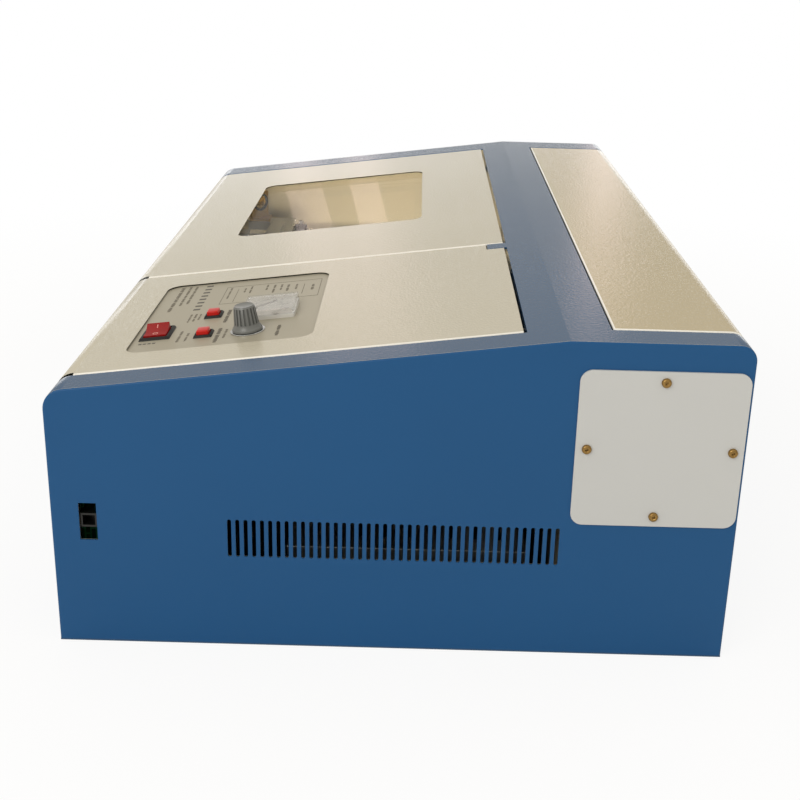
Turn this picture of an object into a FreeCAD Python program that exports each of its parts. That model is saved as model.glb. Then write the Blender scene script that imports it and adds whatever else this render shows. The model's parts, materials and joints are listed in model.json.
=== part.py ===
import FreeCAD, Part
import math
import operator
import os
from types import SimpleNamespace

import Sketcher

# Desktop laser cutter: a flat sheet-steel case with two lids at the front, a tube cover at the
# back, a control panel in the right lid and a gantry, tube and electronics inside.
# +X is the machine's right side, -Y its front, +Z up. The origin is the middle of the case's base.

# ---------------------------------------------------------------- driving dimensions (mm)

SIZES = {
    # case
    "case_width": 800,
    "case_depth": 500,
    "case_height": 250,
    "front_drop": 48,          # how much lower the front edge is than the ridge
    "ridge_depth": 370,        # front face to ridge
    "back_radius": 12,
    "front_radius": 16,
    "sheet": 1.5,
    "pan_flange": 12,
    "fold_radius": 1.4,        # outer rounding where the sheet is folded
    # top openings
    "border_left": 40,
    "border_right": 29,
    "lid_gap": 1,
    "strip_front": 158,        # back face to the front edge of the rear cross strip
    "strip_back": 98,          # back face to the rear edge of the cross strip
    "hinge_gap": 2.5,
    "cover_gap": 1.5,
    "lip_drop": 27,            # lids' front lip, below the virtual corner
    "cover_lip_drop": 32,
    "lid_flange": 8,
    "tongue_length": 17,
    "tongue_width": 16,
    "seam_from_right": 281,    # right face to the seam between the lids
    # left lid window
    "window_width": 249,
    "window_length": 188,
    "window_radius": 12,
    "window_from_seam": 126,
    "window_from_front": 77,
    "pane_thickness": 3,
    "pane_overlap": 12,
    # control panel in the right lid
    "panel_width": 176,
    "panel_length": 142.5,
    "panel_radius": 12,
    "panel_from_right": 66,
    "panel_from_front": 42.5,
    "fascia_thickness": 2,
    "fascia_overlap": 8,
    "rocker_from_right": 111,
    "rocker_from_front": 59,
    "rocker_width": 30,
    "rocker_length": 24.5,
    "button_right_from_right": 99,
    "button_left_from_right": 147,
    "buttons_from_front": 97.5,
    "button_width": 16,
    "button_length": 14.5,
    "cap_width": 11,
    "cap_length": 10,
    "cap_height": 5,
    "bezel_height": 2,
    "cap_travel": 2.5,
    "knob_from_right": 98,
    "knob_from_front": 132,
    "knob_radius": 11.8,
    "knob_top_radius": 8.5,
    "knob_height": 21,
    "dial_radius": 13.5,
    "meter_from_right": 143.5,
    "meter_from_front": 145,
    "meter_side": 42,
    "meter_height": 8.5,
    # right side panel
    "slot_pitch": 6,
    "slot_count": 41,
    "slot_width": 3,
    "slot_height": 30.5,
    "slot_middle_height": 90.25,
    "usb_from_front": 27,
    "usb_width": 13,
    "usb_height": 30,
    "usb_middle_height": 100.75,
    "plate_side": 120,
    "plate_thickness": 1.5,
    "plate_radius": 9,
    "plate_hole_radius": 38,
    "plate_screw_offset": 52,
    "screw_head_radius": 3.5,
    "screw_head_height": 2.4,
    "screw_radius": 2,
    "screw_length": 7,
    # laser tube and optics
    "tube_from_back": 62,
    "beam_from_top": 80,       # ridge height down to the laser beam
    "tube_radius": 25,
    "tube_from_left": 68,
    "tube_from_right": 32,
    "saddle_length": 30,
    "saddle_from_tube_end": 126,
    "beam_line_from_left": 46,
    "mirror_radius": 10,
    # inner walls
    "divider_behind_seam": 1,
    "bay_wall_from_back": 125,
    # hinges
    "hinge_setback": 7,
    "hinge_depth": 4,
    "hinge_pin_radius": 1.2,
    "hinge_eye_radius": 2.1,
    "hinge_inset": 45,
    "hinge_leaf": 12,
    "running_fit": 0.05,
    # motion system
    "rail_radius": 4,
    "rail_below_beam": 42,
    "rail_left_from_left": 65,
    "rail_right_from_seam": 21,
    "frame_bar": 20,
    "rail_above_frame": 32,
    "frame_from_front": 28,
    "frame_from_wall": 13,
    "beam_parked_from_front": 85,
    "beam_depth": 30,
    "beam_thickness": 10,
    "guide_width": 12,
    "guide_height": 8,
    "head_offset": 30,
    "carriage_parked_from_seam": 79,
    "carriage_width": 40,
    "lens_tube_radius": 12,
    "nozzle_above_bed": 32,
    "belt_thickness": 1.2,
    "belt_width": 6,
    "x_pulley_radius": 6,
    "y_pulley_radius": 8,
    "shaft_radius": 3,
    "motor_side": 42,
    "motor_length": 38,
    "y_shaft_below_frame": 10,
    "y_shaft_from_wall": 57,
    "y_motor_from_rail": 215,
    # bed
    "bed_width": 320,
    "bed_length": 220,
    "bed_below_frame": 30,
    "bed_thickness": 3,
    "bed_from_left": 100,
    "bed_from_front": 54,
    "post_radius": 6,
    "post_inset": 15,
    "jaw_length": 120,
    "jaw_thickness": 10,
    "jaw_height": 8,
    "jaw_from_back": 60,
    "jaw_slot_width": 8,
    "jaw_recess": 1.2,
    "jaw_travel": 60,
    # exhaust
    "duct_side_room": 13,
    "duct_below_tube": 7,
    "duct_base": 14,
    "duct_from_left": 225,
    "collar_length": 30,
    "collar_flange": 12,
    "fan_play": 0.5,
    "fan_depth": 25,
    "blade_count": 7,
    # electronics
    "supply_width": 150,
    "supply_length": 180,
    "supply_height": 75,
    "supply_from_right": 14,
    "supply_from_wall": 25,
    "supply_vent_margin": 20,
    "board_length": 90,
    "board_height": 70,
    "board_thickness": 1.6,
    "board_below_usb": 16,
    "board_from_socket": 17.6,
    "bracket_foot": 20,
    "inlet_from_right": 70,
    "inlet_height": 50,
    "grommet_from_left": 45,
    "grommet_radius": 9,
    "clearance": 0.3,
}

document = FreeCAD.newDocument("laser_cutter")
sheet_object = document.addObject("Spreadsheet::Sheet", "Sizes")
for row, (size_name, size_value) in enumerate(SIZES.items(), start=1):
    sheet_object.set(f"A{row}", size_name)
    sheet_object.set(f"B{row}", str(size_value))
    sheet_object.setAlias(f"B{row}", size_name)
document.recompute()

# ---------------------------------------------------------------- sizes as expressions

OPERATORS = {"+": operator.add, "-": operator.sub, "*": operator.mul, "/": operator.truediv}


class Length:
    """A number together with the sheet expression that it comes from."""

    def __init__(self, number, text):
        self.number = number
        self.text = text

    def __add__(self, other):
        return combine(self, "+", other)

    def __radd__(self, other):
        return combine(other, "+", self)

    def __sub__(self, other):
        return combine(self, "-", other)

    def __rsub__(self, other):
        return combine(other, "-", self)

    def __mul__(self, other):
        return combine(self, "*", other)

    def __rmul__(self, other):
        return combine(other, "*", self)

    def __truediv__(self, other):
        return combine(self, "/", other)

    def __rtruediv__(self, other):
        return combine(other, "/", self)

    def __neg__(self):
        return combine(0, "-", self)


def as_length(value):
    """A plain number becomes a Length that no cell drives."""
    if isinstance(value, Length):
        return value
    return Length(float(value), f"({float(value)})")


def combine(left, sign, right):
    """The sum, difference, product or ratio of two lengths."""
    left = as_length(left)
    right = as_length(right)
    return Length(OPERATORS[sign](left.number, right.number), f"({left.text} {sign} {right.text})")


def square_root(value):
    """The square root of a length's square, kept as an expression."""
    return Length(math.sqrt(value.number), f"sqrt({value.text})")


def bind(thing, prop, value):
    """Ties one property of an object to the sheet."""
    thing.setExpression(prop, as_length(value).text)


s = SimpleNamespace(**{name: Length(float(value), f"Sizes.{name}") for name, value in SIZES.items()})

# ---------------------------------------------------------------- sketches and features

PLANES = {"XY": "XY_Plane", "XZ": "XZ_Plane", "YZ": "YZ_Plane"}


def rectangle(a0, b0, a1, b1, radius=None):
    """The corners of a rectangle, rounded where a radius is given."""
    corners = [(a0, b0), (a1, b0), (a1, b1), (a0, b1)]
    if radius is None:
        return corners
    return [(a, b, radius) for a, b in corners]


def circle(a, b, radius):
    """A full circle for a sketch."""
    return SimpleNamespace(a=as_length(a), b=as_length(b), radius=as_length(radius))


def stadium(a0, b0, a1, b1, radius):
    """A slot outline: two half circles about (a0, b0) and (a1, b1), joined by straight sides."""
    return SimpleNamespace(
        a=as_length(a0), b=as_length(b0), a_end=as_length(a1), b_end=as_length(b1),
        radius=as_length(radius))


def pin_point(sketch, geometry, point, a, b):
    """Holds a sketch point at (a, b) from the sketch's origin."""
    for kind, value in (("DistanceX", as_length(a)), ("DistanceY", as_length(b))):
        index = sketch.addConstraint(Sketcher.Constraint(kind, -1, 1, geometry, point, value.number))
        sketch.setExpression(f"Constraints[{index}]", value.text)


def hold_radius(sketch, geometry, radius):
    """Gives a sketch arc or circle its radius."""
    index = sketch.addConstraint(Sketcher.Constraint("Radius", geometry, radius.number))
    sketch.setExpression(f"Constraints[{index}]", radius.text)


def add_circle(sketch, ring):
    """Draws one circle."""
    centre = FreeCAD.Vector(ring.a.number, ring.b.number, 0)
    shape = Part.Circle(centre, FreeCAD.Vector(0, 0, 1), ring.radius.number)
    geometry = sketch.addGeometry(shape)
    hold_radius(sketch, geometry, ring.radius)
    pin_point(sketch, geometry, 3, ring.a, ring.b)


def add_stadium(sketch, slot):
    """Draws one slot outline."""
    first = FreeCAD.Vector(slot.a.number, slot.b.number, 0)
    last = FreeCAD.Vector(slot.a_end.number, slot.b_end.number, 0)
    along = (last - first).normalize()
    side = FreeCAD.Vector(-along.y, along.x, 0) * slot.radius.number
    angle = math.atan2(side.y, side.x)
    upright = FreeCAD.Vector(0, 0, 1)
    near = Part.ArcOfCircle(Part.Circle(first, upright, slot.radius.number), angle, angle + math.pi)
    far = Part.ArcOfCircle(Part.Circle(last, upright, slot.radius.number), angle - math.pi, angle)
    arc = sketch.addGeometry(near)
    lower = sketch.addGeometry(Part.LineSegment(first - side, last - side))
    arc_end = sketch.addGeometry(far)
    upper = sketch.addGeometry(Part.LineSegment(last + side, first + side))
    ring = (arc, lower, arc_end, upper)
    for i, geometry in enumerate(ring):
        sketch.addConstraint(Sketcher.Constraint("Tangent", geometry, 2, ring[(i + 1) % 4], 1))
    sketch.addConstraint(Sketcher.Constraint("Equal", arc, arc_end))
    hold_radius(sketch, arc, slot.radius)
    pin_point(sketch, arc, 3, slot.a, slot.b)
    pin_point(sketch, arc_end, 3, slot.a_end, slot.b_end)


def corner_arc(before, corner, after, radius):
    """The tangent points, centre and turning side of the arc that rounds one corner."""
    into = (corner - before).normalize()
    out = (after - corner).normalize()
    turn = into.x * out.y - into.y * out.x
    half = math.acos(max(-1.0, min(1.0, into.dot(out)))) / 2
    reach = radius * math.tan(half)
    start = corner - into * reach
    end = corner + out * reach
    side = 1 if turn > 0 else -1
    centre = start + FreeCAD.Vector(-into.y, into.x, 0) * (radius * side)
    return start, end, centre, side


def add_outline(sketch, corners):
    """Draws a closed outline of straight lines, with arcs at the rounded corners."""
    points = [FreeCAD.Vector(as_length(c[0]).number, as_length(c[1]).number, 0) for c in corners]
    count = len(points)
    ends = []
    for i, corner in enumerate(corners):
        if len(corner) == 3:
            radius = as_length(corner[2])
            ends.append(corner_arc(points[i - 1], points[i], points[(i + 1) % count], radius.number))
        else:
            ends.append((points[i], points[i], None, 0))
    lines = []
    for i in range(count):
        line = Part.LineSegment(ends[i][1], ends[(i + 1) % count][0])
        lines.append(sketch.addGeometry(line))
    for i, corner in enumerate(corners):
        before = lines[i - 1]
        after = lines[i]
        if len(corner) == 2:
            sketch.addConstraint(Sketcher.Constraint("Coincident", before, 2, after, 1))
            pin_point(sketch, after, 1, corner[0], corner[1])
            continue
        start, end, centre, side = ends[i]
        radius = as_length(corner[2])
        first, last = (start, end) if side > 0 else (end, start)
        ring = Part.Circle(centre, FreeCAD.Vector(0, 0, 1), radius.number)
        arc = sketch.addGeometry(Part.ArcOfCircle(ring, ring.parameter(first), ring.parameter(last)))
        at_before, at_after = (1, 2) if side > 0 else (2, 1)
        sketch.addConstraint(Sketcher.Constraint("Tangent", before, 2, arc, at_before))
        sketch.addConstraint(Sketcher.Constraint("Tangent", arc, at_after, after, 1))
        hold_radius(sketch, arc, radius)
        mark = sketch.addGeometry(Part.Point(points[i]), True)
        sketch.addConstraint(Sketcher.Constraint("PointOnObject", mark, 1, before))
        sketch.addConstraint(Sketcher.Constraint("PointOnObject", mark, 1, after))
        pin_point(sketch, mark, 1, corner[0], corner[1])


class Piece:
    """One physical piece: a PartDesign body that is built up feature by feature.

    Sketches lie on the body's own origin planes. A feature runs from start to end along the
    axis that the plane faces: Z for XY, Y for XZ and X for YZ.
    """

    def __init__(self, name, several=False):
        self.body = document.addObject("PartDesign::Body", name)
        self.body.Label = name
        self.body.AllowCompound = several
        self.count = 0

    def sketch(self, plane, outlines, level):
        """A constrained sketch with one or more closed outlines."""
        self.count += 1
        sketch = self.body.newObject("Sketcher::SketchObject", f"{self.body.Label}_sketch_{self.count}")
        for feature in self.body.Origin.OriginFeatures:
            if feature.Role == PLANES[plane]:
                sketch.AttachmentSupport = [(feature, "")]
        sketch.MapMode = "FlatFace"
        bind(sketch, "AttachmentOffset.Base.z", level)
        for outline in outlines:
            if isinstance(outline, list):
                add_outline(sketch, outline)
            elif hasattr(outline, "a_end"):
                add_stadium(sketch, outline)
            else:
                add_circle(sketch, outline)
        return sketch

    def pad(self, plane, outlines, start, end):
        """Adds material from start to end."""
        level = -as_length(end) if plane == "XZ" else start
        sketch = self.sketch(plane, outlines, level)
        feature = self.body.newObject("PartDesign::Pad", f"{self.body.Label}_pad_{self.count}")
        feature.Profile = sketch
        bind(feature, "Length", as_length(end) - start)
        return feature

    def pocket(self, plane, outlines, start, end):
        """Cuts material away from start to end."""
        level = -as_length(start) if plane == "XZ" else end
        sketch = self.sketch(plane, outlines, level)
        feature = self.body.newObject("PartDesign::Pocket", f"{self.body.Label}_pocket_{self.count}")
        feature.Profile = sketch
        bind(feature, "Length", as_length(end) - start)
        return feature

    def turn(self, outlines):
        """Adds a solid of revolution about the body's Z axis; outlines are (radius, height)."""
        sketch = self.sketch("XZ", outlines, 0)
        feature = self.body.newObject("PartDesign::Revolution", f"{self.body.Label}_turn_{self.count}")
        feature.Profile = sketch
        feature.ReferenceAxis = (sketch, ["V_Axis"])
        feature.Angle = 360
        return feature

    def repeat(self, feature, axis, length, occurrences):
        """Repeats a feature in a row; length is the whole row."""
        pattern = self.body.newObject("PartDesign::LinearPattern", f"{self.body.Label}_row_{self.count}")
        pattern.Originals = [feature]
        for origin_axis in self.body.Origin.OriginFeatures:
            if origin_axis.Role == f"{axis}_Axis":
                pattern.Direction = (origin_axis, [""])
        bind(pattern, "Length", length)
        bind(pattern, "Occurrences", occurrences)
        self.body.Tip = pattern
        return pattern

    def spin(self, feature, occurrences):
        """Repeats a feature round the body's Z axis."""
        pattern = self.body.newObject("PartDesign::PolarPattern", f"{self.body.Label}_ring_{self.count}")
        pattern.Originals = [feature]
        for origin_axis in self.body.Origin.OriginFeatures:
            if origin_axis.Role == "Z_Axis":
                pattern.Axis = (origin_axis, [""])
        pattern.Angle = 360
        bind(pattern, "Occurrences", occurrences)
        self.body.Tip = pattern
        return pattern

    def round_edges(self, radius, wanted):
        """Fillets the edges for which wanted(edge) is true."""
        document.recompute()
        tip = self.body.Tip
        names = [f"Edge{i}" for i, edge in enumerate(tip.Shape.Edges, start=1) if wanted(edge)]
        self.count += 1
        feature = self.body.newObject("PartDesign::Fillet", f"{self.body.Label}_round_{self.count}")
        feature.Base = (tip, names)
        bind(feature, "Radius", radius)
        self.body.Tip = feature
        return feature

    def put(self, x=0, y=0, z=0, axis="Z"):
        """Sets the body down at (x, y, z) with its own Z along the given axis."""
        turns = {
            "Z": FreeCAD.Rotation(),
            "X": FreeCAD.Rotation(FreeCAD.Vector(0, 1, 0), 90),
            "Y": FreeCAD.Rotation(FreeCAD.Vector(1, 0, 0), -90),
            "-Y": FreeCAD.Rotation(FreeCAD.Vector(1, 0, 0), 90),
            "-X": FreeCAD.Rotation(FreeCAD.Vector(0, 1, 0), -90),
            "-Z": FreeCAD.Rotation(FreeCAD.Vector(1, 0, 0), 180),
        }
        self.body.Placement = FreeCAD.Placement(FreeCAD.Vector(0, 0, 0), turns[axis])
        bind(self.body, "Placement.Base.x", x)
        bind(self.body, "Placement.Base.y", y)
        bind(self.body, "Placement.Base.z", z)

    def put_on_panel(self, x, y, height=0):
        """Sets the body down on the lids' slope, above (x, y), its Z square to the slope."""
        self.put(x, y - height * slope_sine, slope_top(y) + height * slope_cosine)
        self.body.Placement = FreeCAD.Placement(
            FreeCAD.Vector(0, 0, 0), FreeCAD.Rotation(FreeCAD.Vector(1, 0, 0), slope_angle.number))
        self.body.setExpression("Placement.Rotation.Angle", slope_angle.text)


# ---------------------------------------------------------------- lines of the case

left = -s.case_width / 2
right = s.case_width / 2
front = -s.case_depth / 2
back = s.case_depth / 2
top = s.case_height
ridge = front + s.ridge_depth
inner_left = left + s.sheet
inner_right = right - s.sheet
inner_front = front + s.sheet
inner_back = back - s.sheet

slope_ratio = s.front_drop / s.ridge_depth
slope_hypotenuse = square_root(s.front_drop * s.front_drop + s.ridge_depth * s.ridge_depth)
slope_sine = s.front_drop / slope_hypotenuse
slope_cosine = s.ridge_depth / slope_hypotenuse
slope_angle = Length(math.degrees(math.atan(slope_ratio.number)), f"atan({slope_ratio.text})")


def slope_top(y, depth=0):
    """Height of the sloping top at y, or of a layer at some depth square below it."""
    return top - (ridge - y) * slope_ratio - depth / slope_cosine


def slope_band(y0, y1, upper, lower):
    """A strip that follows the slope from y0 to y1, between two depths below the top."""
    return [
        (y0, slope_top(y0, lower)),
        (y1, slope_top(y1, lower)),
        (y1, slope_top(y1, upper)),
        (y0, slope_top(y0, upper)),
    ]


inner_radius = s.back_radius - s.sheet
inner_ridge = ridge + s.sheet * (1 - slope_cosine) / slope_sine
inner_top = top - s.sheet
front_corner = (front, slope_top(front), s.front_radius)
inner_front_corner = (inner_front, slope_top(inner_front, s.sheet), s.front_radius - s.sheet)
back_corner = (back, top, s.back_radius)
inner_back_corner = (inner_back, inner_top, inner_radius)

lip_base = slope_top(front) - s.lip_drop
cover_lip_base = top - s.cover_lip_drop
strip_front = back - s.strip_front
strip_back = back - s.strip_back
opening_left = left + s.border_left
opening_right = right - s.border_right
seam = right - s.seam_from_right
seam_half = s.lid_gap * 0.75
tongue_front = strip_front - s.tongue_length
tongue_left = seam - seam_half + s.lid_gap
tongue_right = tongue_left + s.tongue_width
strip_flange = 22
lid_back = strip_front - s.hinge_gap
cover_front = strip_back + s.cover_gap
bay_wall = back - s.bay_wall_from_back
tube_line = back - s.tube_from_back
beam_height = top - s.beam_from_top
rail_height = beam_height - s.rail_below_beam
frame_top = rail_height - s.rail_above_frame
bed_top = frame_top - s.bed_below_frame
divider_right = seam + s.divider_behind_seam / 2
divider_left = divider_right - s.sheet

# ---------------------------------------------------------------- case panels


def on_outline(point):
    """Whether a point lies on the case's outline as seen from the side, above its base."""
    if min(abs(point.y - front.number), abs(point.y - back.number)) < 0.01:
        return True
    return abs(point.z - min(top.number, slope_top(point.y).number)) < 0.01


def folded(*places):
    """Picks the outer edges that follow the case's outline at the given places along X."""
    def wanted(edge):
        ends = [vertex.Point for vertex in edge.Vertexes]
        along = any(all(abs(end.x - x.number) < 0.01 for end in ends) for x in places)
        low = all(abs(end.z - s.sheet.number) < 0.01 for end in ends)
        return along and not low and all(on_outline(end) for end in ends)
    return wanted


bottom_pan = Piece("bottom_pan")
bottom_pan.pad("XY", [rectangle(left, front, right, back)], 0, s.sheet)
bottom_pan.pad(
    "XY",
    [
        rectangle(inner_left, inner_front, inner_right, inner_back),
        rectangle(inner_left + s.sheet, inner_front + s.sheet, inner_right - s.sheet, inner_back - s.sheet),
    ],
    0,
    s.sheet + s.pan_flange,
)


def side_outline():
    """The case seen from the side, above the bottom pan."""
    return [(front, s.sheet), (back, s.sheet), back_corner, (ridge, top), front_corner]


left_side_panel = Piece("left_side_panel")
left_side_panel.pad("YZ", [side_outline()], left, inner_left)
left_side_panel.round_edges(s.fold_radius, folded(left))

plate_line = tube_line
plate_height = beam_height
plate_half = s.plate_side / 2
plate_screws = [
    (plate_line + s.plate_screw_offset, plate_height),
    (plate_line, plate_height + s.plate_screw_offset),
    (plate_line - s.plate_screw_offset, plate_height),
    (plate_line, plate_height - s.plate_screw_offset),
]
usb_front = front + s.usb_from_front - s.usb_width / 2
usb_base = s.usb_middle_height - s.usb_height / 2
slot_row = s.slot_pitch * (s.slot_count - 1)
slot_half = (s.slot_height - s.slot_width) / 2

right_side_panel = Piece("right_side_panel")
right_side_panel.pad("YZ", [side_outline()], inner_right, right)
right_side_panel.round_edges(s.fold_radius, folded(right))
right_side_panel.pocket(
    "YZ",
    [
        circle(plate_line, plate_height, s.plate_hole_radius),
        rectangle(usb_front, usb_base, usb_front + s.usb_width, usb_base + s.usb_height),
    ] + [circle(y, z, s.screw_radius) for y, z in plate_screws],
    inner_right,
    right,
)
first_slot = right_side_panel.pocket(
    "YZ",
    [
        stadium(
            -slot_row / 2,
            s.slot_middle_height - slot_half,
            -slot_row / 2,
            s.slot_middle_height + slot_half,
            s.slot_width / 2,
        )
    ],
    inner_right,
    right,
)
right_side_panel.repeat(first_slot, "Y", slot_row, s.slot_count)

side_cover_plate = Piece("side_cover_plate")
side_cover_plate.pad(
    "YZ",
    [
        rectangle(
            plate_line - plate_half,
            plate_height - plate_half,
            plate_line + plate_half,
            plate_height + plate_half,
            s.plate_radius,
        )
    ] + [circle(y, z, s.screw_radius) for y, z in plate_screws],
    right,
    right + s.plate_thickness,
)

side_plate_screws = Piece("side_plate_screws", several=True)
screw_seat = right + s.plate_thickness
side_plate_screws.pad(
    "YZ", [circle(y, z, s.screw_radius) for y, z in plate_screws], screw_seat - s.screw_length, screw_seat)
side_plate_screws.pad(
    "YZ", [circle(y, z, s.screw_head_radius) for y, z in plate_screws],
    screw_seat, screw_seat + s.screw_head_height)

# The front panel steps inwards above its top edge, behind the lids' front lip.
joggle = s.sheet + s.clearance
front_panel = Piece("front_panel")
front_panel_top = lip_base - s.lid_gap
front_panel.pad(
    "YZ",
    [[
        (front, s.sheet),
        (inner_front, s.sheet),
        (inner_front, front_panel_top - s.sheet),
        (inner_front + joggle, front_panel_top - s.sheet),
        (inner_front + joggle, front_panel_top + s.pan_flange),
        (front + joggle, front_panel_top + s.pan_flange),
        (front + joggle, front_panel_top),
        (front, front_panel_top),
    ]],
    inner_left,
    inner_right,
)

duct_top = beam_height - s.tube_radius - s.duct_below_tube
duct_half = (duct_top - s.duct_base) / 2
duct_centre_height = s.duct_base + duct_half
duct_left = left + s.duct_from_left
duct_middle = duct_left + s.duct_side_room + duct_half
duct_right = duct_middle + duct_half + s.duct_side_room
rear_panel_top = cover_lip_base - s.cover_gap
rear_panel = Piece("rear_panel")
rear_panel.pad("XZ", [rectangle(inner_left, s.sheet, inner_right, rear_panel_top)], inner_back, back)

top_frame = Piece("top_frame")
top_frame.pad(
    "YZ",
    [[
        (front, front_panel_top),
        front_corner,
        (ridge, top),
        back_corner,
        (back, rear_panel_top),
        (inner_back, rear_panel_top),
        inner_back_corner,
        (inner_ridge, inner_top),
        inner_front_corner,
        (inner_front, front_panel_top),
    ]],
    inner_left,
    inner_right,
)
beyond = 5
top_frame.pocket(
    "XY",
    [[
        (opening_left, front - beyond),
        (opening_right, front - beyond),
        (opening_right, strip_front),
        (tongue_right, strip_front),
        (tongue_right, tongue_front),
        (tongue_left, tongue_front),
        (tongue_left, strip_front),
        (opening_left, strip_front),
    ]],
    front_panel_top - beyond,
    top + beyond,
)
top_frame.pocket(
    "XY", [rectangle(opening_left, strip_back, opening_right, back + beyond)],
    rear_panel_top - beyond, top + beyond)
top_frame.round_edges(s.fold_radius, folded(opening_left, opening_right))
for flange_front, flange_top in (
    (strip_front, slope_top(strip_front, s.sheet / 2)),
    (strip_back - s.sheet, top - s.sheet / 2),
):
    top_frame.pad(
        "XY", [rectangle(opening_left, flange_front, opening_right, flange_front + s.sheet)],
        flange_top - strip_flange, flange_top)

# ---------------------------------------------------------------- inner walls

under_lids = 14
bay_divider = Piece("bay_divider")
bay_divider.pad(
    "YZ",
    [[
        (inner_front + joggle + s.sheet, s.sheet),
        (bay_wall, s.sheet),
        (bay_wall, slope_top(strip_front, under_lids + strip_flange)),
        (strip_front - s.sheet, slope_top(strip_front, under_lids + strip_flange)),
        (tongue_front, slope_top(tongue_front, under_lids)),
        (inner_front + joggle + s.sheet, slope_top(inner_front + joggle + s.sheet, under_lids)),
    ]],
    divider_left,
    divider_right,
)

mirror_line = left + s.beam_line_from_left
beam_hole = 12
tube_bay_wall = Piece("tube_bay_wall")
tube_bay_wall.pad(
    "XZ", [rectangle(inner_left + s.sheet, s.sheet, inner_right - s.sheet, top - strip_flange)],
    bay_wall, bay_wall + s.sheet)
tube_bay_wall.pocket(
    "XZ",
    [
        circle(mirror_line, beam_height, beam_hole),
        rectangle(duct_left, s.duct_base, duct_right, duct_top),
    ],
    bay_wall,
    bay_wall + s.sheet,
)

# ---------------------------------------------------------------- lids and covers


def lid_profile():
    """Both front lids seen from the side: a front lip, the rounded edge and the slope."""
    return [
        (front, lip_base),
        front_corner,
        (lid_back, slope_top(lid_back)),
        (lid_back, slope_top(lid_back, s.sheet)),
        inner_front_corner,
        (inner_front, lip_base),
    ]


relief_width = 3
relief_length = s.front_radius * 0.9


def make_lid(name, x0, x1, relieved):
    """A front lid with turned-down side flanges, slit where a flange meets the front bend.

    relieved lists the edges with a slit as their place and the way into the sheet.
    """
    lid = Piece(name)
    lid.pad("YZ", [lid_profile()], x0, x1)
    lid.round_edges(s.fold_radius, folded(x0, x1))
    flange = slope_band(
        front + s.front_radius + s.sheet, tongue_front - s.lid_gap - s.sheet,
        s.sheet / 2, s.sheet + s.lid_flange)
    lid.pad("YZ", [flange], x0, x0 + s.sheet)
    lid.pad("YZ", [flange], x1 - s.sheet, x1)
    slits = []
    for edge, way in relieved:
        low, high = (edge, edge + relief_width) if way > 0 else (edge - relief_width, edge)
        slits.append(rectangle(low, front - beyond, high, front + relief_length))
    lid.pocket("XY", slits, slope_top(front) - s.front_radius, top + beyond)
    return lid


left_lid_left = opening_left + s.lid_gap
left_lid_right = seam - seam_half
right_lid_left = seam + seam_half
right_lid_right = opening_right - s.lid_gap

left_lid = make_lid("left_lid", left_lid_left, left_lid_right, [(left_lid_left, 1)])
window_right = seam - s.window_from_seam
window_left = window_right - s.window_width
window_front = front + s.window_from_front
window_back = window_front + s.window_length
left_lid.pocket(
    "XY", [rectangle(window_left, window_front, window_right, window_back, s.window_radius)],
    lip_base, top)

window_pane = Piece("window_pane")
window_pane.pad(
    "YZ",
    [slope_band(
        window_front - s.pane_overlap, window_back + s.pane_overlap,
        s.sheet, s.sheet + s.pane_thickness)],
    window_left - s.pane_overlap,
    window_right + s.pane_overlap,
)

right_lid = make_lid(
    "right_lid", right_lid_left, right_lid_right, [(right_lid_left, 1), (right_lid_right, -1)])
right_lid.pocket(
    "XY",
    [rectangle(
        right_lid_left - beyond, tongue_front - s.lid_gap,
        tongue_right + s.lid_gap, lid_back + beyond)],
    lip_base, top + beyond)
panel_right = right - s.panel_from_right
panel_left = panel_right - s.panel_width
panel_front = front + s.panel_from_front
panel_back = panel_front + s.panel_length
panel_x = (panel_left + panel_right) / 2
panel_y = (panel_front + panel_back) / 2
right_lid.pocket(
    "XY", [rectangle(panel_left, panel_front, panel_right, panel_back, s.panel_radius)],
    lip_base, top)

rear_cover = Piece("rear_cover")
rear_cover.pad(
    "YZ",
    [[
        (cover_front, inner_top),
        inner_back_corner,
        (inner_back, cover_lip_base),
        (back, cover_lip_base),
        back_corner,
        (cover_front, top),
    ]],
    left_lid_left,
    right_lid_right,
)
rear_cover.round_edges(s.fold_radius, folded(left_lid_left, right_lid_right))

# ---------------------------------------------------------------- hinges
# Each pivot lies under its lid, a little way in from the lid's edge, so that the edge dips
# into the gap as the lid opens. A fixed arm reaches it from the cross strip's flange.

arm_width = 4
ear_width = 3
arm_clear = s.hinge_setback + s.hinge_depth * 0.45
arm_depth = arm_clear + 4.5


hinge_arms = Piece("hinge_arms", several=True)


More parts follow.
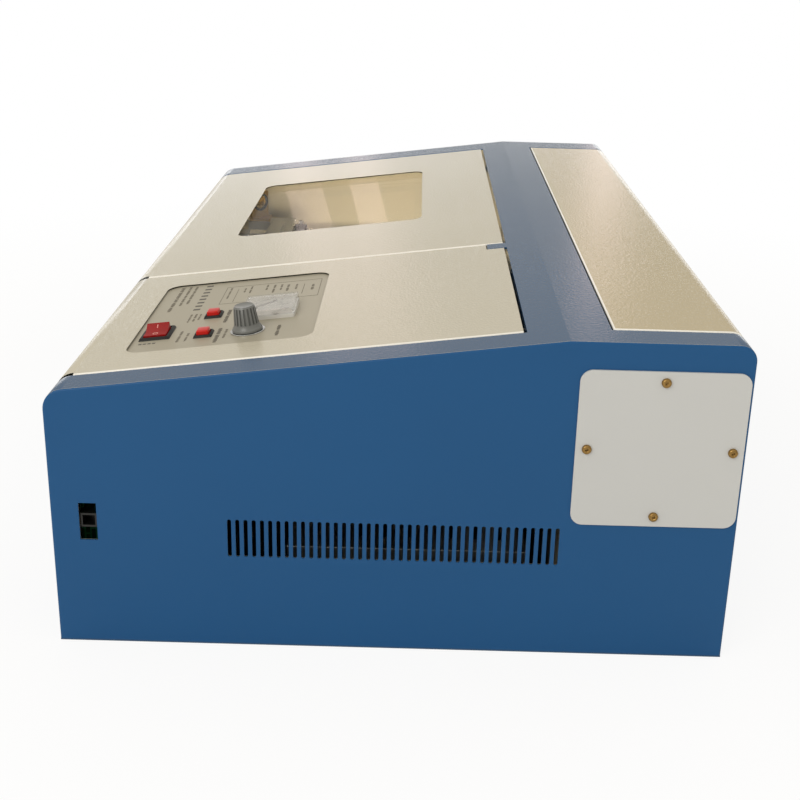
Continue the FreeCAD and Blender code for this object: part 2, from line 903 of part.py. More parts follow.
def hang(lid, edge_left, edge_right, pivot_y, pivot_z, flange_y, lid_under, side):
    """Hangs a lid on two arms with riveted pins; the eyes are welded under the lid.

    side is +1 where the strip lies behind the pivot and -1 where it lies in front.
    """
    eye = s.hinge_eye_radius
    leaf_end = pivot_y - side * s.hinge_leaf
    near_eye = pivot_y + side * eye
    far_eye = pivot_y - side * eye
    for x, way in ((edge_left + s.hinge_inset, 1), (edge_right - s.hinge_inset, -1)):
        x0, x1 = (x, x + arm_width) if way > 0 else (x - arm_width, x)
        hinge_arms.pad(
            "YZ",
            [[
                (flange_y, pivot_z - arm_clear),
                (flange_y, pivot_z - arm_depth - 4),
                (near_eye, pivot_z - arm_depth),
                (far_eye, pivot_z - arm_depth),
                (far_eye, pivot_z),
                (near_eye, pivot_z),
                (near_eye, pivot_z - arm_clear),
            ]],
            x0, x1)
        hinge_arms.pad("YZ", [circle(pivot_y, pivot_z, eye)], x0, x1)
        ear_start = x1 + s.clearance if way > 0 else x0 - s.clearance - ear_width
        ear_end = ear_start + ear_width
        pin_start, pin_end = (x1, ear_end + 1) if way > 0 else (ear_start - 1, x0)
        hinge_arms.pad("YZ", [circle(pivot_y, pivot_z, s.hinge_pin_radius)], pin_start, pin_end)
        lid.pad(
            "YZ",
            [[
                (leaf_end, lid_under(leaf_end)),
                (leaf_end, lid_under(leaf_end) - s.sheet),
                (far_eye, pivot_z),
                (near_eye, pivot_z),
                (near_eye, lid_under(near_eye)),
            ]],
            ear_start, ear_end)
        lid.pad("YZ", [circle(pivot_y, pivot_z, eye)], ear_start, ear_end)
        lid.pocket(
            "YZ", [circle(pivot_y, pivot_z, s.hinge_pin_radius + s.running_fit)],
            ear_start, ear_end)


def under_slope(y):
    """Underside of the sloping lids."""
    return slope_top(y, s.sheet)


def under_flat(y):
    """Underside of the flat rear cover."""
    return inner_top


lid_pivot_y = lid_back - s.hinge_setback
lid_pivot_z = slope_top(lid_pivot_y) - s.hinge_depth
cover_pivot_y = cover_front + s.hinge_setback
cover_pivot_z = top - s.hinge_depth
hang(left_lid, left_lid_left, left_lid_right, lid_pivot_y, lid_pivot_z, strip_front, under_slope, 1)
hang(right_lid, right_lid_left, right_lid_right, lid_pivot_y, lid_pivot_z, strip_front, under_slope, 1)
hang(
    rear_cover, left_lid_left, right_lid_right, cover_pivot_y, cover_pivot_z, strip_back,
    under_flat, -1)

# ---------------------------------------------------------------- control panel
# Everything on the panel is drawn in its own frame: the origin lies on the fascia's face and
# Z stands square to the lids' slope.

def panel_offset(x, y):
    """Where a point of the panel lies in the fascia's own frame."""
    return x - panel_x, (y - panel_y) / slope_cosine


rocker_x = right - s.rocker_from_right
rocker_y = front + s.rocker_from_front
laser_switch_x = right - s.button_left_from_right
test_switch_x = right - s.button_right_from_right
buttons_y = front + s.buttons_from_front
knob_x = right - s.knob_from_right
knob_y = front + s.knob_from_front
meter_x = right - s.meter_from_right
meter_y = front + s.meter_from_front

body_inset = 1           # how far a control's body lies inside its bezel
bush_radius = 4.5
barrel_radius = s.meter_side / 2 - 2
rocker_body_depth = 20
button_body_depth = 18

control_fascia = Piece("control_fascia")
half_width = s.panel_width / 2 + s.fascia_overlap
half_length = s.panel_length / 2 / slope_cosine + s.fascia_overlap
control_fascia.pad(
    "XY", [rectangle(-half_width, -half_length, half_width, half_length)], -s.fascia_thickness, 0)


def body_hole(x, y, width, length):
    """The fascia's hole for a control's body."""
    u, v = panel_offset(x, y)
    half_u = width / 2 - body_inset + s.clearance
    half_v = length / 2 - body_inset + s.clearance
    return rectangle(u - half_u, v - half_v, u + half_u, v + half_v)


control_fascia.pocket(
    "XY",
    [
        body_hole(rocker_x, rocker_y, s.rocker_width, s.rocker_length),
        body_hole(laser_switch_x, buttons_y, s.button_width, s.button_length),
        body_hole(test_switch_x, buttons_y, s.button_width, s.button_length),
        circle(*panel_offset(knob_x, knob_y), bush_radius + s.clearance),
        circle(*panel_offset(meter_x, meter_y), barrel_radius + s.clearance),
    ],
    -s.fascia_thickness,
    0,
)
control_fascia.put_on_panel(panel_x, panel_y, -s.sheet)


def centred(width, length, radius=None):
    """A rectangle about the sketch's origin."""
    return rectangle(-width / 2, -length / 2, width / 2, length / 2, radius)


def shifted(outline, offset):
    """An outline moved sideways."""
    return [(corner[0] + offset,) + tuple(corner[1:]) for corner in outline]


def switch_housing(name, places, x, y, width, length, depth, well_width, well_length, well_depth):
    """Bezels on the fascia, each with its body below and an open well; places are along X."""
    housing = Piece(name, several=len(places) > 1)
    bezel = centred(width, length, s.bezel_height / 2)
    body = centred(width - 2 * body_inset, length - 2 * body_inset)
    well = centred(well_width, well_length)
    housing.pad("XY", [shifted(bezel, place) for place in places], 0, s.bezel_height)
    housing.pad("XY", [shifted(body, place) for place in places], -depth, 0)
    housing.pocket("XY", [shifted(well, place) for place in places], -well_depth, s.bezel_height)
    housing.put_on_panel(x, y, -s.sheet)
    return housing


rocker_pin_radius = 1
rocker_pin_depth = 1
rocker_well_depth = 9
rocker_well_width = s.rocker_width - 6
rocker_well_length = s.rocker_length - 6
rocker_housing = switch_housing(
    "rocker_housing", [0], rocker_x, rocker_y, s.rocker_width, s.rocker_length, rocker_body_depth,
    rocker_well_width, rocker_well_length, rocker_well_depth)
rocker_housing.pad(
    "XZ", [circle(0, -rocker_pin_depth, rocker_pin_radius)],
    -rocker_well_length / 2, rocker_well_length / 2)

# The rocker is the same both ways about its pin. It rests switched off, far half up.
rocker_tilt = math.radians(13)
rocker_reach = rocker_well_width / 2 - 2.3
rocker_half_length = rocker_well_length / 2 - s.clearance
rocker = Piece("rocker")
rocker.pad(
    "XZ",
    [[
        (
            x * math.cos(rocker_tilt) + z * math.sin(rocker_tilt),
            z * math.cos(rocker_tilt) - x * math.sin(rocker_tilt) - rocker_pin_depth,
        )
        for x, z in (
            (-rocker_reach - 0.6, -1.8),
            (rocker_reach + 0.6, -1.8),
            (rocker_reach, 6.3),
            (as_length(0), 4.05),
            (-rocker_reach, 6.3),
        )
    ]],
    -rocker_half_length,
    rocker_half_length,
)
rocker.pocket(
    "XZ", [circle(0, -rocker_pin_depth, rocker_pin_radius + s.running_fit)],
    -rocker_half_length, rocker_half_length)
rocker.put_on_panel(rocker_x, rocker_y, -s.sheet)

button_well_depth = 8 + s.cap_travel
buttons_apart = test_switch_x - laser_switch_x
switch_housing(
    "switch_housings", [-buttons_apart / 2, buttons_apart / 2], (laser_switch_x + test_switch_x) / 2,
    buttons_y, s.button_width, s.button_length, button_body_depth,
    s.cap_width + 2 * s.clearance, s.cap_length + 2 * s.clearance, button_well_depth)
for name, x in (("laser_button", laser_switch_x), ("test_button", test_switch_x)):
    button = Piece(name)
    button.pad(
        "XY", [centred(s.cap_width, s.cap_length, 1)],
        s.cap_travel + s.clearance - button_well_depth, s.cap_height)
    button.put_on_panel(x, buttons_y, -s.sheet)

# Dial ring, potentiometer and the fluted knob with its spindle.
ring_thickness = 1
spindle_radius = s.shaft_radius
dial_ring = Piece("dial_ring")
dial_ring.pad(
    "XY", [circle(0, 0, s.dial_radius), circle(0, 0, bush_radius + s.clearance)], 0, ring_thickness)
dial_ring.put_on_panel(knob_x, knob_y, -s.sheet)

pot_radius = 8.5
pot_depth = 10
bush_top = ring_thickness + 1.2
potentiometer = Piece("potentiometer")
potentiometer.turn([[
    (spindle_radius + s.running_fit, bush_top),
    (bush_radius, bush_top),
    (bush_radius, -s.fascia_thickness),
    (pot_radius, -s.fascia_thickness),
    (pot_radius, -s.fascia_thickness - pot_depth),
    (spindle_radius + s.running_fit, -s.fascia_thickness - pot_depth),
]])
potentiometer.put_on_panel(knob_x, knob_y, -s.sheet)

knob_base = ring_thickness + s.clearance
skirt_height = 4.5
knob_hollow = bush_radius + 1.2
knob_edge = 0.8
knob = Piece("knob")
knob.turn([[
    (0, -s.fascia_thickness - pot_depth + 1),
    (spindle_radius, -s.fascia_thickness - pot_depth + 1),
    (spindle_radius, bush_top + 1),
    (knob_hollow, bush_top + 1),
    (knob_hollow, knob_base),
    (s.knob_radius, knob_base),
    (s.knob_radius, knob_base + 1.5),
    (s.knob_top_radius + 1.8, knob_base + skirt_height),
    (s.knob_top_radius + 0.9, knob_base + skirt_height + 0.6),
    (s.knob_top_radius, s.knob_height - knob_edge),
    (s.knob_top_radius - knob_edge, s.knob_height),
    (0, s.knob_height),
]])
flute = knob.pocket(
    "XY", [circle(s.knob_top_radius + 1.6, 0, 1.5)], knob_base + skirt_height, s.knob_height)
knob.spin(flute, 16)
knob.put_on_panel(knob_x, knob_y, -s.sheet)

# Panel meter: a round barrel behind the fascia, a square base, a clear cover and the needle.
meter_base = 3
cover_wall = 1.2
needle_level = meter_base + 1
needle_length = 22
needle_pivot = -s.meter_side * 0.3
meter_body = Piece("meter_body")
meter_body.pad("XY", [centred(s.meter_side, s.meter_side, 2)], 0, meter_base)
meter_body.pad("XY", [circle(0, 0, barrel_radius)], -s.fascia_thickness - 16, 0)
meter_body.pad("XY", [circle(0, needle_pivot, 0.8)], 0, needle_level + 1.6)
meter_body.put_on_panel(meter_x, meter_y, -s.sheet)

meter_cover = Piece("meter_cover")
meter_cover.pad("XY", [centred(s.meter_side, s.meter_side, 2)], meter_base, s.meter_height)
meter_cover.pocket(
    "XY", [centred(s.meter_side - 2 * cover_wall, s.meter_side - 2 * cover_wall, 1)],
    meter_base, s.meter_height - cover_wall)
meter_cover.put_on_panel(meter_x, meter_y, -s.sheet)

diagonal = math.sqrt(0.5)
needle_half = 0.4
hub_radius = 2.2
tip = needle_length * diagonal
across = needle_half * diagonal
meter_needle = Piece("meter_needle")
meter_needle.pad("XY", [circle(0, needle_pivot, hub_radius)], needle_level, needle_level + 1)
meter_needle.pad(
    "XY",
    [[
        (-across, needle_pivot - across),
        (across, needle_pivot + across),
        (across - tip, needle_pivot + across + tip),
        (-across - tip, needle_pivot - across + tip),
    ]],
    needle_level,
    needle_level + 0.6,
)
meter_needle.pocket(
    "XY", [circle(0, needle_pivot, 0.8 + s.running_fit)], needle_level, needle_level + 1)
meter_needle.put_on_panel(meter_x, meter_y, -s.sheet)

# ---------------------------------------------------------------- laser tube and first mirror

tube_right = right - s.tube_from_right
tube_left = left + s.tube_from_left
tube_end_radius = s.tube_radius * 0.4
tube_nose = 18
tube_wall = 2.5
nose_left = tube_left + tube_nose
nose_right = tube_right - tube_nose
laser_tube = Piece("laser_tube")
laser_tube.turn([[
    (tube_end_radius - tube_wall, tube_left),
    (tube_end_radius, tube_left),
    (tube_end_radius, nose_left),
    (s.tube_radius, nose_left, 6),
    (s.tube_radius, nose_right, 6),
    (tube_end_radius, nose_right),
    (tube_end_radius, tube_right),
    (tube_end_radius - tube_wall, tube_right),
    (tube_end_radius - tube_wall, nose_right - tube_wall),
    (s.tube_radius - tube_wall, nose_right - tube_wall),
    (s.tube_radius - tube_wall, nose_left + tube_wall),
    (tube_end_radius - tube_wall, nose_left + tube_wall),
]])
laser_tube.put(0, tube_line, beam_height, "X")

tube_end_mirrors = Piece("tube_end_mirrors", several=True)
mirror_cap = 7
for end, way in ((tube_left, -1), (tube_right, 1)):
    low, high = (end, end + mirror_cap) if way > 0 else (end - mirror_cap, end)
    tube_end_mirrors.pad("YZ", [circle(tube_line, beam_height, tube_end_radius + 2)], low, high)

# Two saddles stand on stools from the pan and hold the tube in half-round seats.
saddle_half = s.tube_radius + 12
saddle_base = beam_height - s.tube_radius - 14
saddle_top = beam_height - s.clearance
stool_half = 18
saddle_places = (tube_left + s.saddle_from_tube_end, tube_right - s.saddle_from_tube_end)
tube_saddles = Piece("tube_saddles", several=True)
tube_straps = Piece("tube_straps", several=True)
seat_radius = s.tube_radius + 0.02
strap_radius = s.tube_radius + 2
for x in saddle_places:
    x0 = x - s.saddle_length / 2
    x1 = x + s.saddle_length / 2
    tube_saddles.pad(
        "YZ",
        [[
            (tube_line - saddle_half, saddle_base),
            (tube_line - stool_half, saddle_base),
            (tube_line - stool_half, s.sheet),
            (tube_line + stool_half, s.sheet),
            (tube_line + stool_half, saddle_base),
            (tube_line + saddle_half, saddle_base),
            (tube_line + saddle_half, saddle_top),
            (tube_line - saddle_half, saddle_top),
        ]],
        x0, x1)
    tube_straps.pad("YZ", [circle(tube_line, beam_height, strap_radius)], x0 + 5, x1 - 5)
    tube_straps.pad(
        "YZ",
        [rectangle(
            tube_line - saddle_half, beam_height, tube_line + saddle_half, beam_height + 2)],
        x0 + 5, x1 - 5)
tube_saddles.pocket(
    "YZ", [circle(tube_line, beam_height, seat_radius)],
    saddle_places[0] - s.saddle_length, saddle_places[1] + s.saddle_length)
tube_straps.pocket(
    "YZ", [circle(tube_line, beam_height, seat_radius)],
    saddle_places[0] - s.saddle_length, saddle_places[1] + s.saddle_length)
tube_straps.pocket(
    "YZ",
    [rectangle(
        tube_line - 2 * saddle_half, beam_height - 2 * saddle_half,
        tube_line + 2 * saddle_half, beam_height)],
    saddle_places[0] - s.saddle_length, saddle_places[1] + s.saddle_length)


def mirror_mount(name, x, y, base, flip):
    """A post with a tilted round mirror plate that turns the beam by a right angle.

    flip is +1 where the mirror looks towards +X and -Y, and -1 where it looks to +X and +Y.
    """
    mount = Piece(name)
    half = s.mirror_radius + 3
    thick = 5
    diagonal_half = half * diagonal
    diagonal_thick = thick * diagonal
    mount.pad(
        "XY",
        [[
            (x - diagonal_half, y - flip * diagonal_half),
            (x + diagonal_half, y + flip * diagonal_half),
            (x + diagonal_half - diagonal_thick, y + flip * (diagonal_half + diagonal_thick)),
            (x - diagonal_half - diagonal_thick, y - flip * (diagonal_half - diagonal_thick)),
        ]],
        base + 4, beam_height + half)
    mount.pad(
        "XY", [rectangle(x - half - 4, y - half, x + half - 4, y + half)],
        base, base + 4)
    return mount


stand_top = beam_height - s.mirror_radius - 14
mirror_one_mount = mirror_mount("mirror_one_mount", mirror_line, tube_line, stand_top, 1)
mirror_one_mount.pad(
    "XY", [rectangle(mirror_line - 10, tube_line - 8, mirror_line + 6, tube_line + 8)],
    s.sheet, stand_top)

# ---------------------------------------------------------------- gantry
# A ring frame on four legs carries two rods along Y. The cross beam rides on them, and the
# carriage rides along the beam. Both mirrors and the head lie in front of the beam.

rail_left = left + s.rail_left_from_left
rail_right = seam - s.rail_right_from_seam
bar_half = s.frame_bar / 2
frame_front = front + s.frame_from_front
frame_back = bay_wall - s.frame_from_wall
frame_base = frame_top - s.frame_bar
shaft_line = bay_wall - s.y_shaft_from_wall
shaft_height = frame_top - s.y_shaft_below_frame
block_thickness = 14
block_top = rail_height + s.rail_radius + 3
idler_line = frame_front + s.frame_bar + s.y_pulley_radius + 4
axle_hole = s.shaft_radius + s.running_fit

gantry_frame = Piece("gantry_frame")
gantry_frame.pad(
    "XY",
    [
        rectangle(rail_left - bar_half, frame_front, rail_right + bar_half, frame_back),
        rectangle(
            rail_left + bar_half, frame_front + s.frame_bar,
            rail_right - bar_half, frame_back - s.frame_bar),
    ],
    frame_base,
    frame_top,
)
gantry_frame.pad(
    "XY",
    [
        rectangle(x - bar_half, y0, x + bar_half, y0 + s.frame_bar)
        for x in (rail_left, rail_right)
        for y0 in (frame_front, frame_back - s.frame_bar)
    ],
    s.sheet,
    frame_base,
)
gantry_frame.pocket(
    "YZ",
    [circle(shaft_line, shaft_height, axle_hole), circle(idler_line, shaft_height, axle_hole)],
    rail_left - bar_half, rail_right + bar_half)

rail_blocks = Piece("rail_blocks", several=True)
block_outlines = [
    rectangle(x - bar_half, frame_top, x + bar_half, block_top) for x in (rail_left, rail_right)
]
for y0 in (frame_front, frame_back - block_thickness):
    rail_blocks.pad("XZ", block_outlines, y0, y0 + block_thickness)
rail_blocks.pocket(
    "XZ", [circle(x, rail_height, s.rail_radius) for x in (rail_left, rail_right)],
    frame_front, frame_back)

y_rails = Piece("y_rails", several=True)
y_rails.pad(
    "XZ", [circle(x, rail_height, s.rail_radius) for x in (rail_left, rail_right)],
    frame_front, frame_back)

y_belt_offset = bar_half + 6
y_pulley_places = (rail_left + y_belt_offset, rail_right - y_belt_offset)
beam_line = front + s.beam_parked_from_front
beam_half = s.beam_depth / 2
beam_top = beam_height - s.mirror_radius - 14
beam_base = beam_top - s.beam_thickness
head_line = beam_line - s.head_offset
bearing_half = 10
bearing_base = rail_height - s.rail_radius - 4
guide_left = rail_left + 15
guide_right = rail_right - 15
belt_line = beam_line + 28
x_motor_x = rail_right - s.motor_side
x_idler_x = rail_left + 28
guide_top = beam_top + s.guide_height
motor_plate_back = belt_line + s.motor_side / 2

cross_beam = Piece("cross_beam")
cross_beam.pad(
    "XY",
    [[
        (mirror_line - 14, head_line - 14),
        (mirror_line + 14, head_line - 14),
        (mirror_line + 14, beam_line - beam_half),
        (rail_right + bearing_half, beam_line - beam_half),
        (rail_right + bearing_half, beam_line + beam_half),
        (x_motor_x + s.motor_side / 2, beam_line + beam_half),
        (x_motor_x + s.motor_side / 2, motor_plate_back),
        (x_motor_x - s.motor_side / 2, motor_plate_back),
        (x_motor_x - s.motor_side / 2, beam_line + beam_half),
        (x_idler_x + 12, beam_line + beam_half),
        (x_idler_x + 12, belt_line + 10),
        (x_idler_x - 12, belt_line + 10),
        (x_idler_x - 12, beam_line + beam_half),
        (mirror_line - 14, beam_line + beam_half),
    ]],
    beam_base,
    beam_top,
)
cross_beam.pad(
    "XY",
    [
        rectangle(x - bearing_half, beam_line - beam_half, x + bearing_half, beam_line + beam_half)
        for x in (rail_left, rail_right)
    ],
    bearing_base,
    beam_base,
)
cross_beam.pad(
    "XY",
    [rectangle(guide_left, beam_line - s.guide_width / 2, guide_right, beam_line + s.guide_width / 2)],
    beam_top,
    guide_top,
)
cross_beam.pad("XY", [circle(x_idler_x, belt_line, s.shaft_radius)], beam_top, guide_top + 4)
y_belt_top = shaft_height + s.y_pulley_radius + s.clearance + s.belt_thickness
cross_beam.pad(
    "XY",
    [rectangle(x - 4, beam_line - 8, x + 4, beam_line + 8) for x in y_pulley_places],
    y_belt_top + s.clearance, beam_base)
cross_beam.pocket(
    "XZ",
    [circle(x, rail_height, s.rail_radius + s.running_fit) for x in (rail_left, rail_right)],
    beam_line - beam_half, beam_line + beam_half)
cross_beam.pocket(
    "XY", [circle(x_motor_x, belt_line, s.shaft_radius + 1)], beam_base, beam_top)

mirror_mount("mirror_two_mount", mirror_line, head_line, beam_top, -1)

x_motor = Piece("x_motor")
motor_half = s.motor_side / 2
x_motor.pad(
    "XY", [rectangle(x_motor_x - motor_half, belt_line - motor_half,
                     x_motor_x + motor_half, belt_line + motor_half, 4)],
    beam_base - s.motor_length, beam_base)
x_motor.pocket(
    "XY", [circle(x_motor_x, belt_line, axle_hole)], beam_base - s.motor_length / 2, beam_base)


def pulley_outline(radius, bore, height):
    """A flanged belt pulley's half section."""
    flange = 1
    return [
        (bore, 0),
        (radius + 1.2, 0),
        (radius + 1.2, flange),
        (radius, flange),
        (radius, height - flange),
        (radius + 1.2, height - flange),
        (radius + 1.2, height),
        (bore, height),
    ]


pulley_height = s.belt_width + 2.6
belt_base = beam_top + s.clearance + 1.3
x_pulley = Piece("x_pulley")
x_pulley.turn([pulley_outline(s.x_pulley_radius, 0, pulley_height)])
x_pulley.pad("XY", [circle(0, 0, s.shaft_radius)], 1 - s.beam_thickness - s.motor_length / 2, 0)
x_pulley.put(x_motor_x, belt_line, beam_top + s.clearance)

x_idler = Piece("x_idler")
x_idler.turn([pulley_outline(s.x_pulley_radius, axle_hole, pulley_height)])
x_idler.put(x_idler_x, belt_line, beam_top + s.clearance)


def belt_loop(piece, plane, middle_start, middle_end, level, radius, start, end):
    """A closed belt round two pulleys whose axes stand at middle_start and middle_end."""
    inner = radius + s.clearance
    piece.pad(
        plane,
        [
            stadium(middle_start, level, middle_end, level, inner + s.belt_thickness),
            stadium(middle_start, level, middle_end, level, inner),
        ],
        start,
        end,
    )


x_belt = Piece("x_belt")
belt_loop(
    x_belt, "XY", x_idler_x, x_motor_x, belt_line, s.x_pulley_radius,
    belt_base, belt_base + s.belt_width)

carriage_x = seam - s.carriage_parked_from_seam
carriage_half = s.carriage_width / 2
carriage_top = guide_top + 7
gap = s.clearance
strand = belt_line - s.x_pulley_radius - s.clearance - s.belt_thickness
carriage = Piece("carriage")
carriage.pad(
    "YZ",
    [[
        (beam_line - beam_half, beam_top + gap),
        (beam_line - s.guide_width / 2 - gap, beam_top + gap),
        (beam_line - s.guide_width / 2 - gap, guide_top + gap),
        (beam_line + s.guide_width / 2 + gap, guide_top + gap),
        (beam_line + s.guide_width / 2 + gap, beam_top + gap),
        (strand - gap, beam_top + gap),
        (strand - gap, carriage_top),
        (head_line - s.lens_tube_radius - 4, carriage_top),
        (head_line - s.lens_tube_radius - 4, carriage_top - 5),
        (beam_line - beam_half, carriage_top - 5),
    ]],
    carriage_x - carriage_half,
    carriage_x + carriage_half,
)
carriage.pad(
    "XY", [rectangle(carriage_x - 6, strand - gap - 3, carriage_x + 6, belt_line)],
    belt_base + s.belt_width + gap, carriage_top)
carriage.pocket(
    "XY", [circle(carriage_x, head_line, s.lens_tube_radius)], carriage_top - 5, carriage_top)

# The head holds the third mirror over the lens tube and ends in a nozzle.
head_half = s.lens_tube_radius + 2
nozzle_height = bed_top + s.nozzle_above_bed
head_top = beam_height + s.mirror_radius + 4
laser_head = Piece("laser_head")
laser_head.turn([[
    (2, nozzle_height),
    (4, nozzle_height),
    (s.lens_tube_radius - 1, nozzle_height + 14),
    (s.lens_tube_radius - 1, nozzle_height + 24),
    (s.lens_tube_radius, nozzle_height + 24),
    (s.lens_tube_radius, carriage_top),
    (s.lens_tube_radius + 3, carriage_top),
    (s.lens_tube_radius + 3, carriage_top + 3),
    (6, carriage_top + 3),
    (6, nozzle_height + 14),
]])
laser_head.put(carriage_x, head_line, 0)
head_cap = Piece("head_mirror_mount")
cap_base = carriage_top + 3
head_cap.pad(
    "XZ",
    [[
        (carriage_x - head_half, cap_base),
        (carriage_x + head_half + 4, cap_base),
        (carriage_x + head_half + 4, cap_base + 3),
        (carriage_x - head_half + 3, head_top + 4),
        (carriage_x - head_half - 3, head_top),
        (carriage_x - head_half - 3, head_top - 6),
        (carriage_x + head_half - 7, cap_base + 3),
        (carriage_x - head_half, cap_base + 3),
    ]],
    head_line - head_half,
    head_line + head_half,
)
head_cap.pocket("XY", [circle(carriage_x, head_line, 6)], cap_base, cap_base + 3)

# Y drive: one long shaft at the back turns both belts.
y_motor_right = rail_left + s.y_motor_from_rail
y_motor = Piece("y_motor")
y_motor.pad(
    "YZ", [rectangle(shaft_line - motor_half, shaft_height - motor_half,
                     shaft_line + motor_half, shaft_height + motor_half, 4)],
    y_motor_right - s.motor_length, y_motor_right)
y_motor.pad(
    "XY", [rectangle(y_motor_right - 4, shaft_line, y_motor_right, frame_back - s.frame_bar)],
    frame_base, frame_top)
y_motor.pocket(
    "YZ", [circle(shaft_line, shaft_height, axle_hole)],
    y_motor_right - s.motor_length, y_motor_right)

pulley_half = pulley_height / 2
y_drive_shaft = Piece("y_drive_shaft")
y_drive_shaft.turn([[
    (0, rail_left + 2),
    (s.shaft_radius, rail_left + 2),
    (s.shaft_radius, rail_right - 2),
    (0, rail_right - 2),
]])
for place in y_pulley_places:
    y_drive_shaft.pad("XY", [circle(0, 0, s.y_pulley_radius)], place - pulley_half, place + pulley_half)
    for edge in (place - pulley_half, place + pulley_half - 1):
        y_drive_shaft.pad("XY", [circle(0, 0, s.y_pulley_radius + 1.2)], edge, edge + 1)
y_drive_shaft.put(0, shaft_line, shaft_height, "X")

y_idlers = Piece("y_idlers", several=True)
y_idlers.pad(
    "XY", [circle(0, 0, s.shaft_radius)], rail_left + 2, rail_left + y_belt_offset + pulley_half)
y_idlers.pad(
    "XY", [circle(0, 0, s.shaft_radius)], rail_right - y_belt_offset - pulley_half, rail_right - 2)
for place in y_pulley_places:
    y_idlers.pad("XY", [circle(0, 0, s.y_pulley_radius)], place - pulley_half, place + pulley_half)
    for edge in (place - pulley_half, place + pulley_half - 1):
        y_idlers.pad("XY", [circle(0, 0, s.y_pulley_radius + 1.2)], edge, edge + 1)
y_idlers.put(0, idler_line, shaft_height, "X")

y_belts = Piece("y_belts", several=True)
for place in y_pulley_places:
    belt_loop(
        y_belts, "YZ", idler_line, shaft_line, shaft_height, s.y_pulley_radius,
        place - s.belt_width / 2, place + s.belt_width / 2)

# ---------------------------------------------------------------- bed and clamp

bed_left = left + s.bed_from_left
bed_right = bed_left + s.bed_width
bed_front = front + s.bed_from_front
bed_back = bed_front + s.bed_length
bed_base = bed_top - s.bed_thickness
bed_middle = (bed_left + bed_right) / 2
jaw_line = bed_back - s.jaw_from_back
jaw_half = s.jaw_length / 2
jaw_front = jaw_line - s.jaw_thickness / 2
jaw_back = jaw_line + s.jaw_thickness / 2
jaw_slot_half = s.jaw_slot_width / 2
recess_base = bed_top - s.jaw_recess
bed_plate = Piece("bed_plate")
bed_plate.pad("XY", [rectangle(bed_left, bed_front, bed_right, bed_back, 6)], bed_base, bed_top)
bed_plate.pocket(
    "XY",
    [stadium(
        bed_middle, jaw_line - s.jaw_travel - jaw_slot_half, bed_middle, jaw_line + jaw_slot_half,
        jaw_slot_half)],
    bed_base, bed_top)
# The jaw slides in a shallow recess that runs out at the plate's rear edge.
bed_plate.pocket(
    "XY",
    [rectangle(
        bed_middle - jaw_half - s.clearance, jaw_front - s.jaw_travel - s.clearance,
        bed_middle + jaw_half + s.clearance, bed_back + beyond)],
    recess_base, bed_top)
bed_posts = Piece("bed_posts", several=True)
bed_posts.pad(
    "XY",
    [
        circle(x, y, s.post_radius)
        for x in (bed_left + s.post_inset, bed_right - s.post_inset)
        for y in (bed_front + s.post_inset, bed_back - s.post_inset)
    ],
    s.sheet, bed_base)
clamp_jaw = Piece("clamp_jaw")
jaw_key_half = jaw_slot_half - s.clearance
jaw_nut_top = bed_base - s.clearance
clamp_jaw.pad(
    "XY", [rectangle(bed_middle - jaw_half, jaw_front, bed_middle + jaw_half, jaw_back)],
    recess_base + s.clearance, bed_top + s.jaw_height)
clamp_jaw.pad(
    "XY",
    [rectangle(
        bed_middle - jaw_key_half, jaw_line - jaw_key_half, bed_middle + jaw_key_half,
        jaw_line + jaw_key_half)],
    jaw_nut_top, recess_base + s.clearance)
clamp_jaw.pad(
    "XY", [circle(bed_middle, jaw_line, s.jaw_slot_width)], jaw_nut_top - s.bed_thickness, jaw_nut_top)

# ---------------------------------------------------------------- exhaust

fan_front = inner_back - s.fan_depth
fan_half = duct_half - s.sheet - s.fan_play
exhaust_duct = Piece("exhaust_duct")
exhaust_duct.pad(
    "XZ",
    [
        rectangle(duct_left, s.duct_base, duct_right, duct_top),
        rectangle(duct_left + s.sheet, s.duct_base + s.sheet, duct_right - s.sheet, duct_top - s.sheet),
    ],
    bay_wall,
    inner_back,
)

fan_bore = fan_half - 3
fan_hub = 20
fan_frame = Piece("fan_frame")
fan_frame.pad(
    "XY", [centred(2 * fan_half, 2 * fan_half, 6), circle(0, 0, fan_bore)], 0, s.fan_depth)
for spoke in (
    rectangle(-fan_bore - 1, -3, fan_bore + 1, 3),
    rectangle(-3, -fan_bore - 1, 3, fan_bore + 1),
):
    fan_frame.pad("XY", [spoke], s.fan_depth - 3, s.fan_depth)
fan_frame.pad("XY", [circle(0, 0, fan_hub)], s.fan_depth - 4, s.fan_depth)
fan_frame.pad("XY", [circle(0, 0, s.shaft_radius)], 4, s.fan_depth - 4)
fan_frame.put(duct_middle, fan_front, duct_centre_height, "Y")

blade_front = 2
blade_back = s.fan_depth - 6
blade_thick = 1.6
blade_tip = fan_bore - 1.5
fan_impeller = Piece("fan_impeller")
fan_impeller.pad(
    "XY", [circle(0, 0, fan_hub), circle(0, 0, axle_hole)], blade_front, blade_back)
root = fan_impeller.sketch(
    "YZ",
    [[
        (-9, blade_front + 1),
        (-9 + blade_thick, blade_front + 1),
        (9, blade_back - 1),
        (9 - blade_thick, blade_back - 1),
    ]],
    fan_hub - 3)
blade_end = fan_impeller.sketch(
    "YZ",
    [[(-17, blade_front + 4), (-17 + blade_thick * 1.6, blade_front + 4), (17, blade_back - 4),
      (17 - blade_thick * 1.6, blade_back - 4)]],
    blade_tip * 0.94)
blade = fan_impeller.body.newObject("PartDesign::AdditiveLoft", "fan_blade")
blade.Profile = root
blade.Sections = [blade_end]
fan_impeller.spin(blade, s.blade_count)
fan_impeller.put(duct_middle, fan_front, duct_centre_height, "Y")

